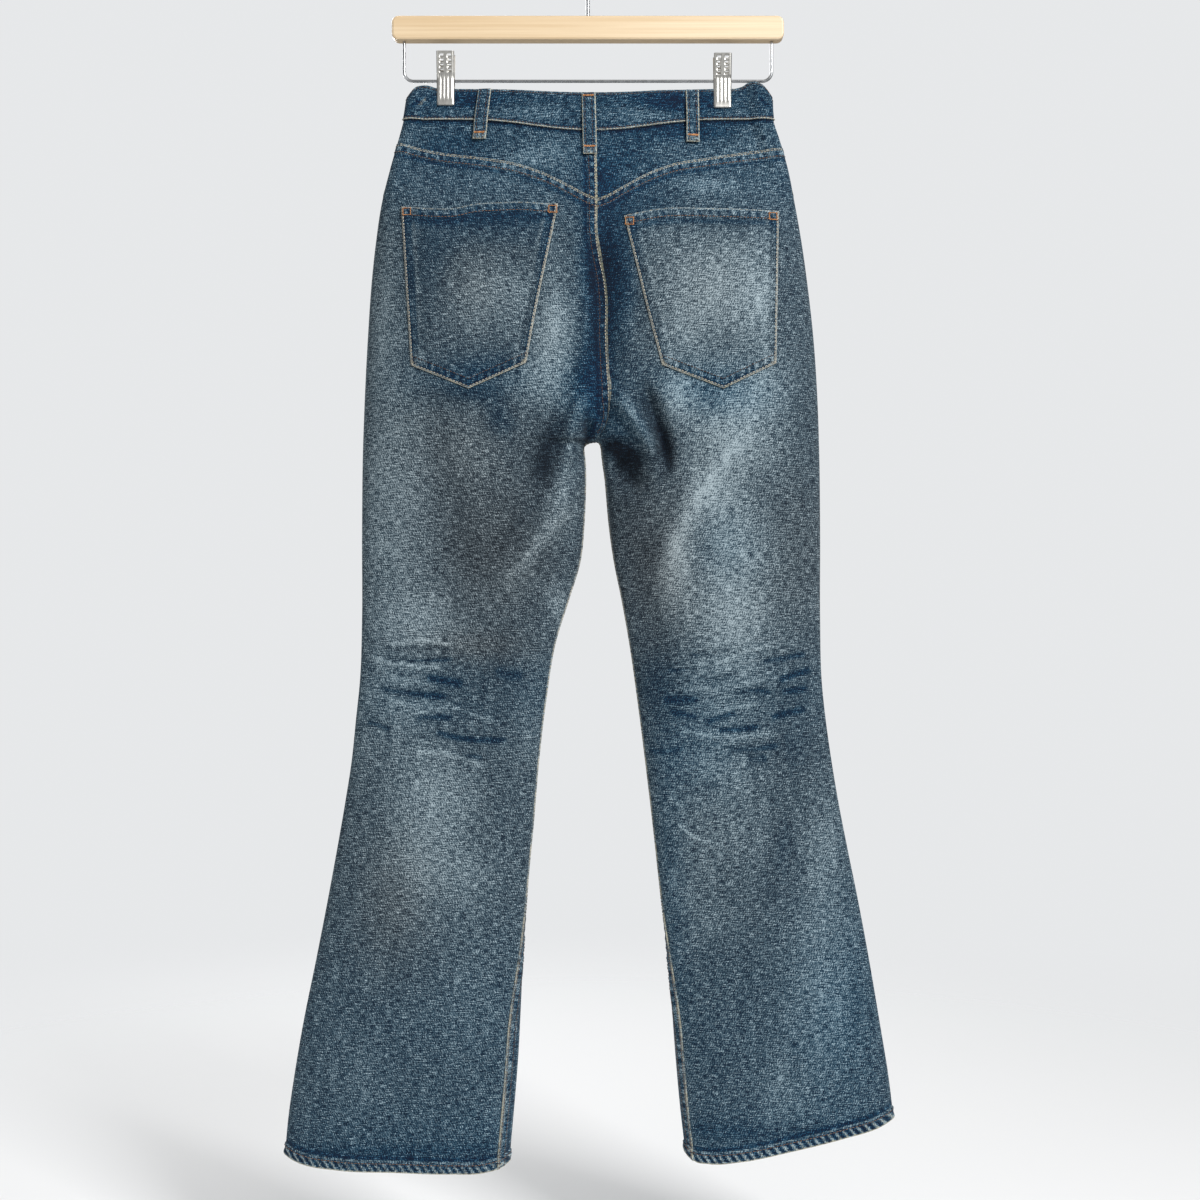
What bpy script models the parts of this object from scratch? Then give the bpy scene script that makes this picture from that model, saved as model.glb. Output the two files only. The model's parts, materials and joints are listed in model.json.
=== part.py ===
"""Bootcut jeans held by the waistband on a wooden clip hanger, seen from behind.

The origin is the inside top of the hanger's hook. +Z is up, the back of the jeans faces -Y,
and -X is the wearer's left. Sizes in the tables and functions are millimetres; solid() turns
them into metres.
"""

import math
from collections import namedtuple

import bmesh
import bpy
import numpy as np

MM = 0.001

# Cloth
DENIM = 1.2  # one layer
WAISTBAND_WALL = 2.4  # two layers
HEM_EXTRA = 1.3  # the turned-up hem stands this much proud of one layer
SEAM_EXTRA = 0.8  # a felled seam stands this much proud of one layer
SEAM_BAND = 10.0  # width of a felled seam
HEM_HEIGHT = 10.0
EDGE_RAMP = 1.0  # over which a raised band falls to the plain cloth
GAP = 0.3  # between neighbouring pieces
LEG_TRIM = 0.25  # each piece's share of the gap along the curved inseam

# Heights
FORK_Z = -494.8  # where the four panels meet between the legs
FORK_X = 8.5
YOKE_Z = -235.0  # height of the yoke seam, measured halfway between side and centre
YOKE_FADE_Z = -400.0  # below this the rows of the back panels are level
HEM_Z = -1190.0  # the outline tables end here; the hem's own curve is in HEMS
HEM_FADE_Z = -1020.0
FRONT_SEAM_Z = -192.0  # waist seam of the front, measured halfway

# Section of the tubes
ROUND_SHARE = 0.40  # share of the half's width that rounds off at each fold
BACK_RISE_CURVE = 74.0  # height over which the centre back seam turns forward to the fork
FRONT_RISE_CURVE = 52.0
ARCH = 8.5  # height of the round arch between the legs, just under the fork

Side = namedtuple("Side", "z left right")
SIDES = [  # the outline at the side folds
    Side(z=-140, left=-172.0, right=176.0),
    Side(z=-157, left=-176.0, right=180.0),
    Side(z=-181, left=-180.0, right=182.0),
    Side(z=-200, left=-185.0, right=188.0),
    Side(z=-230, left=-193.5, right=196.5),
    Side(z=-260, left=-201.0, right=202.5),
    Side(z=-303, left=-207.5, right=210.0),
    Side(z=-347, left=-212.0, right=216.0),
    Side(z=-392, left=-215.0, right=221.0),
    Side(z=-450, left=-218.0, right=225.0),
    Side(z=-504, left=-220.0, right=227.0),
    Side(z=-590, left=-221.0, right=228.0),
    Side(z=-671, left=-221.0, right=228.0),
    Side(z=-730, left=-223.0, right=229.5),
    Side(z=-769, left=-227.0, right=233.5),
    Side(z=-808, left=-231.0, right=239.0),
    Side(z=-850, left=-237.5, right=246.0),
    Side(z=-896, left=-245.5, right=255.0),
    Side(z=-945, left=-254.5, right=265.0),
    Side(z=-1004, left=-266.0, right=276.0),
    Side(z=-1063, left=-278.0, right=286.0),
    Side(z=-1122, left=-288.0, right=295.5),
    Side(z=-1161, left=-293.5, right=300.0),
    Side(z=-1190, left=-296.0, right=302.5),
    Side(z=-1215, left=-297.5, right=304.0),
]
INSEAMS = [  # the outline at the inner folds of the legs
    Side(z=-480, left=-4.5, right=13.0),
    Side(z=-503, left=-4.0, right=13.7),
    Side(z=-516, left=-2.6, right=15.0),
    Side(z=-532, left=-2.0, right=17.3),
    Side(z=-550, left=-2.4, right=18.9),
    Side(z=-576, left=-3.6, right=21.2),
    Side(z=-611, left=-7.0, right=26.0),
    Side(z=-651, left=-18.8, right=34.0),
    Side(z=-690, left=-31.0, right=41.0),
    Side(z=-749, left=-41.0, right=49.5),
    Side(z=-808, left=-48.0, right=57.0),
    Side(z=-867, left=-53.0, right=64.0),
    Side(z=-926, left=-58.5, right=70.5),
    Side(z=-984, left=-62.5, right=77.0),
    Side(z=-1043, left=-65.0, right=82.0),
    Side(z=-1102, left=-68.0, right=86.5),
    Side(z=-1151, left=-72.0, right=91.0),
    Side(z=-1190, left=-75.5, right=95.5),
    Side(z=-1215, left=-77.5, right=98.0),
]

Seam = namedtuple("Seam", "z back front")
CENTRE_SEAMS = [  # where the left and right halves meet, above the fork
    Seam(z=-140, back=6.0, front=5.0),
    Seam(z=-181, back=7.0, front=5.0),
    Seam(z=-228, back=8.4, front=6.0),
    Seam(z=-268, back=9.0, front=6.5),
    Seam(z=-296, back=9.0, front=7.0),
    Seam(z=-321, back=12.5, front=7.5),
    Seam(z=-342, back=17.0, front=8.0),
    Seam(z=-362, back=19.0, front=8.0),
    Seam(z=-394, back=18.7, front=8.5),
    Seam(z=-431, back=20.2, front=8.5),
    Seam(z=-453, back=21.4, front=8.5),
    Seam(z=-466, back=20.8, front=8.5),
    Seam(z=-484, back=16.0, front=8.5),
    Seam(z=FORK_Z, back=FORK_X, front=FORK_X),
]

Depth = namedtuple("Depth", "z back front")
DEPTHS = [  # how far each face stands from the plane of the side folds
    Depth(z=-140, back=8.0, front=7.0),
    Depth(z=-190, back=10.0, front=8.0),
    Depth(z=-240, back=20.0, front=11.0),
    Depth(z=-300, back=29.0, front=14.0),
    Depth(z=-370, back=35.0, front=17.0),
    Depth(z=-440, back=37.0, front=20.0),
    Depth(z=-500, back=33.0, front=22.0),
    Depth(z=-580, back=27.0, front=21.0),
    Depth(z=-680, back=20.0, front=18.0),
    Depth(z=-780, back=17.0, front=16.0),
    Depth(z=-900, back=18.0, front=17.0),
    Depth(z=-1050, back=20.0, front=19.0),
    Depth(z=-1190, back=22.0, front=21.0),
    Depth(z=-1215, back=22.5, front=21.5),
]

# The waist, where the clips press the two walls together
CLIP_SPAN = {"left": (17.0, 68.0), "right": (22.0, 78.0)}  # pressed flat, from the side fold
WAIST_LOBE = 4.2  # half opening of the loop of waistband outside each clip
WAIST_PRESSED = 0.3  # half opening at the clips
WAIST_CENTRE = 7.2  # half opening at the centre
WAIST_ROUND = 9.0  # over which the waistband rounds off at the side fold
WAIST_FADE = (-186.0, -285.0)  # between these heights the pressed waist opens into the hips

WAIST_SEAM_Z = -181.5
WAIST_SEAM_DIP = 12.0
WAIST_TOP_Z = -151.0
WAIST_TOP_DIP = 5.0
WAIST_DIP_REACH = 125.0
FRONT_DIP = 14.0

YokeSeam = namedtuple("YokeSeam", "across left right")
YOKE_SEAM = [  # height of the seam under the yoke, from the side (0) to the centre (1)
    YokeSeam(across=0.00, left=-205.5, right=-209.5),
    YokeSeam(across=0.17, left=-213.5, right=-213.6),
    YokeSeam(across=0.41, left=-220.0, right=-220.2),
    YokeSeam(across=0.60, left=-227.3, right=-227.5),
    YokeSeam(across=0.74, left=-237.4, right=-238.2),
    YokeSeam(across=0.86, left=-249.6, right=-251.0),
    YokeSeam(across=0.95, left=-259.5, right=-260.8),
    YokeSeam(across=1.00, left=-264.0, right=-264.0),
]
YOKE_SIDES = {"left": -181.0, "right": 190.0}
YOKE_CENTRE = 8.8

Hem = namedtuple("Hem", "across left right")
HEMS = [  # height of the hem's edge, from the side (0) to the inner fold (1)
    Hem(across=0.00, left=-1192.5, right=-1157.0),
    Hem(across=0.06, left=-1197.5, right=-1162.5),
    Hem(across=0.25, left=-1203.0, right=-1172.5),
    Hem(across=0.50, left=-1204.8, right=-1184.5),
    Hem(across=0.75, left=-1206.8, right=-1195.0),
    Hem(across=0.90, left=-1207.0, right=-1198.5),
    Hem(across=0.97, left=-1203.5, right=-1196.5),
    Hem(across=1.00, left=-1199.0, right=-1190.5),
]
SIGN = {"left": -1, "right": 1}

# The front panel shows this share of the section, past the inner fold, at the hem
INSEAM_TURN = {"left": 0.145, "right": 0.12}
INSEAM_TURN_Z = (-900.0, -1080.0)

Fold = namedtuple("Fold", "x0 z0 x1 z1 x2 z2 reach height")
BACK_FOLDS = [  # soft ridges (+) and troughs (-), each along a curve through three points
    Fold(x0=10, z0=-285, x1=18, z1=-375, x2=20, z2=-468, reach=15, height=-8),  # centre seam
    Fold(x0=16, z0=-446, x1=50, z1=-484, x2=66, z2=-524, reach=8, height=8),  # seat sags over
    Fold(x0=46, z0=-432, x1=70, z1=-486, x2=76, z2=-534, reach=8, height=-10),  # its valley
    Fold(x0=20, z0=-517, x1=40, z1=-529, x2=50, z2=-560, reach=13, height=-11),  # under the sag
    Fold(x0=172, z0=-450, x1=108, z1=-556, x2=80, z2=-676, reach=24, height=7),
    Fold(x0=42, z0=-580, x1=52, z1=-640, x2=66, z2=-720, reach=20, height=-4),
    Fold(x0=-6, z0=-526, x1=-44, z1=-592, x2=-90, z2=-668, reach=11, height=6),
    Fold(x0=-8, z0=-560, x1=-34, z1=-612, x2=-58, z2=-655, reach=12, height=-4),
    Fold(x0=6, z0=-448, x1=-15, z1=-486, x2=-14, z2=-524, reach=9, height=7),
    Fold(x0=3, z0=-476, x1=0, z1=-486, x2=-3, z2=-498, reach=5, height=-7),
    Fold(x0=-142, z0=-470, x1=-138, z1=-560, x2=-122, z2=-650, reach=22, height=-4),
    Fold(x0=-46, z0=-290, x1=-34, z1=-360, x2=-28, z2=-430, reach=20, height=4),
    Fold(x0=44, z0=-300, x1=50, z1=-360, x2=44, z2=-420, reach=14, height=-3),
    Fold(x0=-190, z0=-740, x1=-130, z1=-752, x2=-60, z2=-748, reach=14, height=-2.5),
    Fold(x0=80, z0=-745, x1=150, z1=-756, x2=215, z2=-735, reach=14, height=-2.5),
    Fold(x0=120, z0=-820, x1=175, z1=-960, x2=190, z2=-1120, reach=30, height=3),
    Fold(x0=-150, z0=-830, x1=-180, z1=-960, x2=-200, z2=-1120, reach=30, height=3),
]
FRONT_FOLDS = [
    Fold(x0=-8, z0=-478, x1=-60, z1=-452, x2=-130, z2=-440, reach=9, height=4),
    Fold(x0=22, z0=-474, x1=75, z1=-446, x2=140, z2=-432, reach=9, height=4),
    Fold(x0=-12, z0=-508, x1=-70, z1=-498, x2=-140, z2=-505, reach=10, height=-4),
    Fold(x0=26, z0=-506, x1=80, z1=-492, x2=150, z2=-500, reach=10, height=-4),
    Fold(x0=-10, z0=-540, x1=-60, z1=-600, x2=-95, z2=-690, reach=13, height=5),
    Fold(x0=34, z0=-540, x1=70, z1=-600, x2=100, z2=-690, reach=13, height=5),
    Fold(x0=-195, z0=-760, x1=-130, z1=-770, x2=-65, z2=-758, reach=14, height=-3),
    Fold(x0=75, z0=-752, x1=150, z1=-768, x2=220, z2=-756, reach=14, height=-3),
    Fold(x0=-150, z0=-820, x1=-175, z1=-960, x2=-190, z2=-1120, reach=28, height=3),
    Fold(x0=130, z0=-820, x1=170, z1=-960, x2=195, z2=-1120, reach=28, height=3),
]

# Front: scoop pockets and fly
SCOOP_WIDTH = 88.0  # from the side seam, along the waist seam
SCOOP_DEPTH = 66.0  # from the waist seam, down the side seam
SCOOP_TURNS = np.radians([0, 16, 32, 46, 58, 68, 77, 84, 90])
FACING_COLUMNS = np.array([0.0, 0.4, 0.75, 0.95, 1.0, 1.10])  # 1 is the scoop's edge
FACING_SINK = np.array([0.0, 0.0, 0.0, 0.0, 1.9, 3.6])  # how far each column lies inward
FLY_LENGTH = 118.0
LAP = 4.0  # the wearer's left front laps over the right one by this much at the fly
LAP_LIFT = 1.5

Pocket = namedtuple("Pocket", "outer_top inner_top inner_low point outer_low")
POCKETS = {  # (x, z) of the corners of each back pocket
    "left": Pocket(outer_top=(-179.5, -271.5), inner_top=(-28.0, -269.3),
                   inner_low=(-58.5, -424.0), point=(-113.7, -448.6),
                   outer_low=(-168.7, -426.0)),
    "right": Pocket(outer_top=(184.5, -273.5), inner_top=(36.5, -275.5),
                    inner_low=(71.6, -426.0), point=(130.9, -448.6),
                    outer_low=(180.9, -424.0)),
}
POCKET_HEM = 13.0
POCKET_HEM_EXTRA = 0.8

Loop = namedtuple("Loop", "name face x_top x_low z_top z_low")
LOOPS = [
    Loop("loop_back_centre", "back", x_top=1.2, x_low=2.6, z_top=-157.0, z_low=-218.0),
    Loop("loop_back_left", "back", x_top=-100.2, x_low=-105.5, z_top=-151.6, z_low=-201.0),
    Loop("loop_back_right", "back", x_top=102.2, x_low=103.0, z_top=-152.4, z_low=-204.0),
    Loop("loop_front_left", "front", x_top=-78.0, x_low=-78.0, z_top=-160.0, z_low=-212.0),
    Loop("loop_front_right", "front", x_top=84.0, x_low=84.0, z_top=-160.0, z_low=-212.0),
]
LOOP_WIDTH = 13.2
LOOP_WALL = 1.8
LOOP_BOW = 1.6

# Waistband ends at the front
UNDERLAP = -8.0  # the right end runs this far past the centre
TAB = 12.0
TAB_LIFT = 2.8
TAB_RAMP = (-24.0, -6.0)
BUTTON_X = 6.0
BUTTON_RADIUS = 8.6

# Hanger
BAR_LENGTH = 383.0
BAR_HEIGHT = 23.6
BAR_DEPTH = 15.0
BAR_TOP_Z = -80.6
BAR_X = 0.4
BAR_CORNER = 6.5
BAR_EDGE = 2.0
HOOK_RADIUS = 1.8
HOOK_EYE = 22.0  # radius of the hook's curve, at the middle of the wire
HOOK_SOCKET = 14.0
WIRE_RADIUS = 1.5
WIRE_REACH = 180.0  # from the middle to each upright of the wire frame
WIRE_Z = -143.0
WIRE_BEND = 9.0
WIRE_SOCKET = 8.0

Clip = namedtuple("Clip", "name x top_z low_z")
CLIPS = [
    Clip("clip_left", x=-138.8, top_z=-115.5, low_z=-167.3),
    Clip("clip_right", x=132.2, top_z=-117.5, low_z=-169.6),
]
CLIP_WIDTH = 17.4
CLIP_WALL = 1.1
CLIP_FLARE = 7.5  # how far the thumb tabs stand apart, from the middle
BARREL_RADIUS = 2.55


def along(rows, column, z, key="z"):
    """A smooth curve through one column of a table, read at height z, or at another key."""
    knots = np.array([getattr(row, key) for row in rows], float)
    values = np.array([getattr(row, column) for row in rows], float)
    order = np.argsort(knots)
    knots, values = knots[order], values[order]
    slopes = np.gradient(values, knots)
    z = np.clip(z, knots[0], knots[-1])
    i = np.clip(np.searchsorted(knots, z, side="right") - 1, 0, len(knots) - 2)
    span = knots[i + 1] - knots[i]
    t = (z - knots[i]) / span
    return (
        (2 * t**3 - 3 * t**2 + 1) * values[i]
        + (t**3 - 2 * t**2 + t) * span * slopes[i]
        + (3 * t**2 - 2 * t**3) * values[i + 1]
        + (t**3 - t**2) * span * slopes[i + 1]
    )


def smoothstep(low, high, value):
    t = np.clip((value - low) / (high - low), 0.0, 1.0)
    return t * t * (3 - 2 * t)


def share_of(phi):
    """Share of the half garment's width, from the side fold, at phi."""
    return (1 - np.cos(math.pi * np.where(phi <= 1, phi, 2 - phi))) / 2


def quarter_round(t):
    """Height of a quarter circle at t, 0 at its end and 1 from t = 1 on."""
    t = np.clip(t, 0.0, 1.0)
    return np.sqrt(np.maximum(0.0, 1 - (1 - t) ** 2))


def dip(x):
    """1 at the centre, falling to 0 at the clips."""
    t = np.clip(np.abs(x - 4.0) / WAIST_DIP_REACH, 0.0, 1.0)
    return np.cos(math.pi / 2 * t) ** 2


def outer_edge(side, z):
    return along(SIDES, side, z) - SIGN[side] * DENIM


def inner_edge(side, face, z):
    """x of the centre seam above the fork and of the leg's inner fold below it."""
    seam = along(CENTRE_SEAMS, face, np.maximum(z, FORK_Z))
    leg = along(INSEAMS, side, z) + SIGN[side] * DENIM
    drop = np.clip((FORK_Z - z) / ARCH, 0.0, 1.0)
    open_share = np.sqrt(np.maximum(0.0, 2 * drop - drop**2))
    return np.where(z >= FORK_Z, seam, FORK_X + (leg - FORK_X) * open_share)


def fork_closing(face, z):
    """0 where the centre seam hangs straight, 1 at the fork and below it."""
    reach = BACK_RISE_CURVE if face == "back" else FRONT_RISE_CURVE
    q = np.clip(1 - (z - FORK_Z) / reach, 0.0, 1.0)
    return 1 - np.sqrt(np.maximum(0.0, 1 - q * q))


def fold_relief(folds, x, z):
    """Sum of the folds' heights at (x, z)."""
    total = np.zeros(np.broadcast(x, z).shape)
    steps = np.linspace(0.0, 1.0, 13)
    for fold in folds:
        cx = 2 * fold.x1 - (fold.x0 + fold.x2) / 2
        cz = 2 * fold.z1 - (fold.z0 + fold.z2) / 2
        px = (1 - steps) ** 2 * fold.x0 + 2 * steps * (1 - steps) * cx + steps**2 * fold.x2
        pz = (1 - steps) ** 2 * fold.z0 + 2 * steps * (1 - steps) * cz + steps**2 * fold.z2
        nearest = np.full(total.shape, 1e9)
        where = np.zeros(total.shape)
        for i in range(len(steps) - 1):
            dx, dz = px[i + 1] - px[i], pz[i + 1] - pz[i]
            t = ((x - px[i]) * dx + (z - pz[i]) * dz) / (dx * dx + dz * dz)
            t = np.clip(t, 0.0, 1.0)
            far = np.hypot(x - px[i] - t * dx, z - pz[i] - t * dz)
            closer = far < nearest
            nearest = np.where(closer, far, nearest)
            where = np.where(closer, steps[i] + t * steps[1], where)
        taper = smoothstep(0.0, 0.3, where) * smoothstep(1.0, 0.7, where)
        total += fold.height * taper * np.exp(-((nearest / fold.reach) ** 2))
    return total


def waist_half(side, from_fold):
    """Half opening of the pressed waist at a distance from the side fold."""
    near, far = CLIP_SPAN[side]
    knots = [0.0, near - 9.0, near, far, 110.0, 185.0]
    halves = [WAIST_LOBE, WAIST_LOBE, WAIST_PRESSED, WAIST_PRESSED, 4.6, WAIST_CENTRE]
    lobe = np.interp(from_fold, knots, halves)
    return np.maximum(WAIST_PRESSED, lobe) * quarter_round(from_fold / WAIST_ROUND)


def section(side, face, phi, z):
    """(x, y) on the cloth's inner face. phi runs once round the half garment: 0 at the side
    fold, over the back to 1 at the centre seam or inner fold, over the front to 2 at the side.
    The face only says whose end is meant at 1."""
    phi = np.mod(phi, 2.0)
    on_back = phi < 1.0 if face == "front" else phi <= 1.0
    share = share_of(phi)
    outer = outer_edge(side, z)
    found = []
    for wall, folds, sign in (("back", BACK_FOLDS, -1), ("front", FRONT_FOLDS, 1)):
        x = outer + (inner_edge(side, wall, z) - outer) * share
        inward = 1 - fork_closing(wall, z) * (1 - quarter_round((1 - share) / ROUND_SHARE))
        full = along(DEPTHS, wall, z) * quarter_round(share / ROUND_SHARE) * inward
        pressed = waist_half(side, np.abs(x - outer))
        half = pressed + (full - pressed) * smoothstep(WAIST_FADE[0], WAIST_FADE[1], z)
        # Folds fade out where the wall turns round an edge of the section.
        half = half + fold_relief(folds, x, z) * np.clip(half / 12.0, 0.0, 1.0)
        found.append((x, sign * half))
    return tuple(np.where(on_back, found[0][i], found[1][i]) for i in (0, 1))


def normals(side, face, phi, z):
    """Outward unit normals of the inner face. Both halves share them at the centre seam."""
    step_phi, step_z = 2e-3, 0.3
    above = z >= FORK_Z
    phi_a, phi_b = phi - step_phi, phi + step_phi
    if face == "back":
        phi_b = np.where(above, np.minimum(phi_b, 1.0), phi_b)
    else:
        phi_a = np.where(above, np.maximum(phi_a, 1.0), phi_a)
    z_a = np.where(above, np.maximum(z - step_z, FORK_Z), z - step_z)
    z_b = np.where(above, z + step_z, np.minimum(z + step_z, FORK_Z - 1e-4))
    xa, ya = section(side, face, phi_a, z)
    xb, yb = section(side, face, phi_b, z)
    xc, yc = section(side, face, phi, z_a)
    xd, yd = section(side, face, phi, z_b)
    around = np.stack([xb - xa, yb - ya, np.zeros_like(xa)], -1)
    upward = np.stack([xd - xc, yd - yc, z_b - z_a], -1)
    n = -np.cross(around, upward) * SIGN[side]
    at_seam = above & (np.abs(phi - 1.0) < 1e-9)
    turn = 1 if face == "back" else -1
    seam = np.stack([0 * xa, -turn * upward[..., 2], turn * upward[..., 1]], -1)
    n = np.where(at_seam[..., None], seam, n)
    return n / np.linalg.norm(n, axis=-1, keepdims=True)


def cloth_point(side, face, x, z, lift):
    """Point on one face of the half garment at (x, z), lifted along the normal."""
    outer = outer_edge(side, z)
    share = np.clip((x - outer) / (inner_edge(side, face, z) - outer), 0.0, 1.0)
    phi = np.arccos(1 - 2 * share) / math.pi
    phi = phi if face == "back" else 2 - phi
    px, py = section(side, face, phi, z)
    return np.stack([px, py, z], -1) + normals(side, face, phi, z) * lift[..., None]


def trim(points, edge, amount):
    """Draws one edge of a grid of points back towards its next row or column."""
    grid = points if edge in ("first_row", "last_row") else points.transpose(1, 0, 2)
    i, j = (0, 1) if edge.startswith("first") else (-1, -2)
    direction = grid[j] - grid[i]
    grid[i] += direction / np.linalg.norm(direction, axis=-1, keepdims=True) * amount


def solid(name, inside, outside, material, closed=False):
    """One closed body from two grids of points (rows, columns, xyz), joined round their rim."""
    rows, columns = inside.shape[:2]
    mesh = bpy.data.meshes.new(name)
    points = np.concatenate([inside.reshape(-1, 3), outside.reshape(-1, 3)]) * MM
    count = rows * columns
    faces = []
    wraps = columns if closed else columns - 1
    for r in range(rows - 1):
        for c in range(wraps):
            d = (c + 1) % columns
            a, b = r * columns + c, r * columns + d
            e, f = (r + 1) * columns + d, (r + 1) * columns + c
            faces += [(a, b, e), (a, e, f)]
            faces += [(count + e, count + b, count + a), (count + f, count + e, count + a)]
    for r, flip in ((0, False), (rows - 1, True)):
        for c in range(wraps):
            a, b = r * columns + c, r * columns + (c + 1) % columns
            rim = (b, a, count + a, count + b)
            faces.append(rim[::-1] if flip else rim)
    if not closed:
        for c, flip in ((0, True), (columns - 1, False)):
            for r in range(rows - 1):
                a, b = r * columns + c, (r + 1) * columns + c
                rim = (b, a, count + a, count + b)
                faces.append(rim[::-1] if flip else rim)
    mesh.from_pydata(points.tolist(), [], faces)
    return finish_object(name, mesh, material)


def finish_object(name, mesh, material, recalculate=True):
    if recalculate:
        shape = bmesh.new()
        shape.from_mesh(mesh)
        bmesh.ops.recalc_face_normals(shape, faces=shape.faces)
        shape.to_mesh(mesh)
        shape.free()
    obj = bpy.data.objects.new(name, mesh)
    bpy.context.scene.collection.objects.link(obj)
    mesh.materials.append(material)
    mesh.shade_smooth()
    mesh.set_sharp_from_angle(angle=math.radians(40))
    obj.parent = bpy.data.objects["jeans_on_hanger"]
    return obj


def material(name, colour, roughness, metallic=0.0):
    made = bpy.data.materials.new(name)
    made.use_nodes = True
    shader = made.node_tree.nodes["Principled BSDF"]
    shader.inputs["Base Color"].default_value = (*colour, 1.0)
    shader.inputs["Roughness"].default_value = roughness
    shader.inputs["Metallic"].default_value = metallic
    return made


def waist_seam_z(face, x, from_fold):
    """Height of the seam under the waistband."""
    if face == "back":
        return WAIST_SEAM_Z - WAIST_SEAM_DIP * dip(x)
    sink = np.sin(math.pi / 2 * np.clip(from_fold / 180.0, 0.0, 1.0)) ** 2
    return WAIST_SEAM_Z - (WAIST_SEAM_DIP + FRONT_DIP) * sink


def waist_top_z(face, side, x, from_fold):
    """Height of the waistband's top edge, with the lobe outside each clip."""
    rise, middle, spread = (3.3, 15.0, 9.0) if side == "left" else (6.4, 14.5, 11.0)
    corner = 9.0 * np.clip(1 - from_fold / 7.0, 0.0, 1.0) ** 2
    if face == "back":
        lobe = rise * np.exp(-(((from_fold - middle) / spread) ** 2))
        return WAIST_TOP_Z - WAIST_TOP_DIP * dip(x) + lobe - corner
    settle = smoothstep(0.0, 22.0, from_fold)
    sink = np.sin(math.pi / 2 * np.clip(from_fold / 180.0, 0.0, 1.0)) ** 2
    level = (WAIST_TOP_Z - 11.0) + 9.0 * settle
    return level - (WAIST_TOP_DIP + FRONT_DIP) * sink


def yoke_seam_z(side, x):
    """Height of the seam under the yoke: shallow at the side, a point at the centre."""
    edge = YOKE_SIDES[side]
    return along(YOKE_SEAM, side, np.clip((x - edge) / (YOKE_CENTRE - edge), 0.0, 1.0), "across")


def hem_z(side, share):
    return along(HEMS, side, share, "across")


def inseam_phi(side, z):
    """Where the inseam lies round the section: past the inner fold, towards the back."""
    return 1 - INSEAM_TURN[side] * smoothstep(INSEAM_TURN_Z[0], INSEAM_TURN_Z[1], z)


def columns_with_band(side, z, plain):
    """phi of a back's columns: evenly turned, then closer at the felled band along its end."""
    width = np.abs(inner_edge(side, "back", z) - outer_edge(side, z))
    last = inseam_phi(side, z)
    band = share_of(last)[:, None] - np.array([SEAM_BAND + EDGE_RAMP, SEAM_BAND]) / width[:, None]
    band = np.arccos(1 - 2 * band) / math.pi
    turned = np.linspace(0.0, 1.0, plain)
    middle = (band[:, 1:] + last[:, None]) / 2
    return np.concatenate([band[:, :1] * turned, band[:, 1:], middle, last[:, None]], axis=1)


LEG_ROWS = [  # row heights from the fork down, the same for every panel
    FORK_Z, -495.5, -497, -499.5, -503.5, -509, -516, -524, -533, -544, -558, -576, -600, -630,
    -665, -700, -735, -770, -810, -855, -905, -960, -1020, -1075, -1125, -1165, -1179.4,
    -1180.4, HEM_Z,
]
BACK_ROWS = [  # close together round the fork
    -235, -244, -245.2, -262, -285, -312, -340, -368, -394, -415, -432, -446, -458, -468,
    -477, -484.5, -490, -493.4,
] + LEG_ROWS
FRONT_ROWS = [-285, -320, -360, -395, -425, -445, -460, -472, -482, -489, -493.2] + LEG_ROWS


def legs_from(rows):
    """Index of the first row of the legs."""
    return int(np.argmax(rows <= FORK_Z))


def settle_to_hem(side, z, share):
    """Bends the level rows of the legs to the hem's own curve."""
    sink = smoothstep(HEM_FADE_Z, HEM_Z, z)
    return z + (hem_z(side, share) - HEM_Z) * np.where(z < HEM_FADE_Z, sink, 0.0)


def hem_extra(rows):
    """How much the turned-up hem adds at each row."""
    return np.where(np.array(rows) <= HEM_Z + HEM_HEIGHT - 0.3, HEM_EXTRA, 0.0)


def seal_centre(side, inside, outside, z):
    """Keeps half the gap between the two halves on each side of the centre seam."""
    shift = np.where(z >= FORK_Z, SIGN[side] * GAP / 2, 0.0)
    for grid in (inside, outside):
        grid[:, -1, 0] += shift


def rows_to_seam(side, face, share, level, seam_at, fade_from):
    """Heights of a panel's points: its rows follow the top seam and fade to level below."""
    z = level.copy()
    rise = np.clip((level - YOKE_FADE_Z) / (fade_from - YOKE_FADE_Z), 0.0, 1.0)
    for _ in range(6):  # the seam's height depends on x, and x on the height
        outer = outer_edge(side, z)
        x = outer + share * (inner_edge(side, face, z) - outer)
        z = level + (seam_at(x, np.abs(x - outer)) - fade_from) * rise
    return settle_to_hem(side, z, share)


def back_panel(side, denim):
    """One back, from the yoke seam to the hem and from the side to the centre and inseam."""
    rows = np.array(BACK_ROWS, float)
    phi = columns_with_band(side, rows, 13)
    share = share_of(phi)
    level = rows[:, None] + 0 * phi
    z = rows_to_seam(side, "back", share, level, lambda x, _: yoke_seam_z(side, x), YOKE_Z)
    px, py = section(side, "back", phi, z)
    inside = np.stack([px, py, z], -1)
    thick = np.full(phi.shape, DENIM)
    if side == "left":
        thick[:, -3:] += SEAM_EXTRA * (rows >= FORK_Z)[:, None]
    thick[:2] = DENIM + SEAM_EXTRA
    thick += hem_extra(rows)[:, None]
    outside = inside + normals(side, "back", phi, z) * thick[..., None]
    for grid in (inside, outside):
        trim(grid, "first_row", GAP / 2)
        trim(grid, "first_column", GAP / 2)
        trim(grid[legs_from(rows):], "last_column", LEG_TRIM)
    seal_centre(side, inside, outside, rows)
    solid(f"{side}_back", inside, outside, denim)
    return outside


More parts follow.
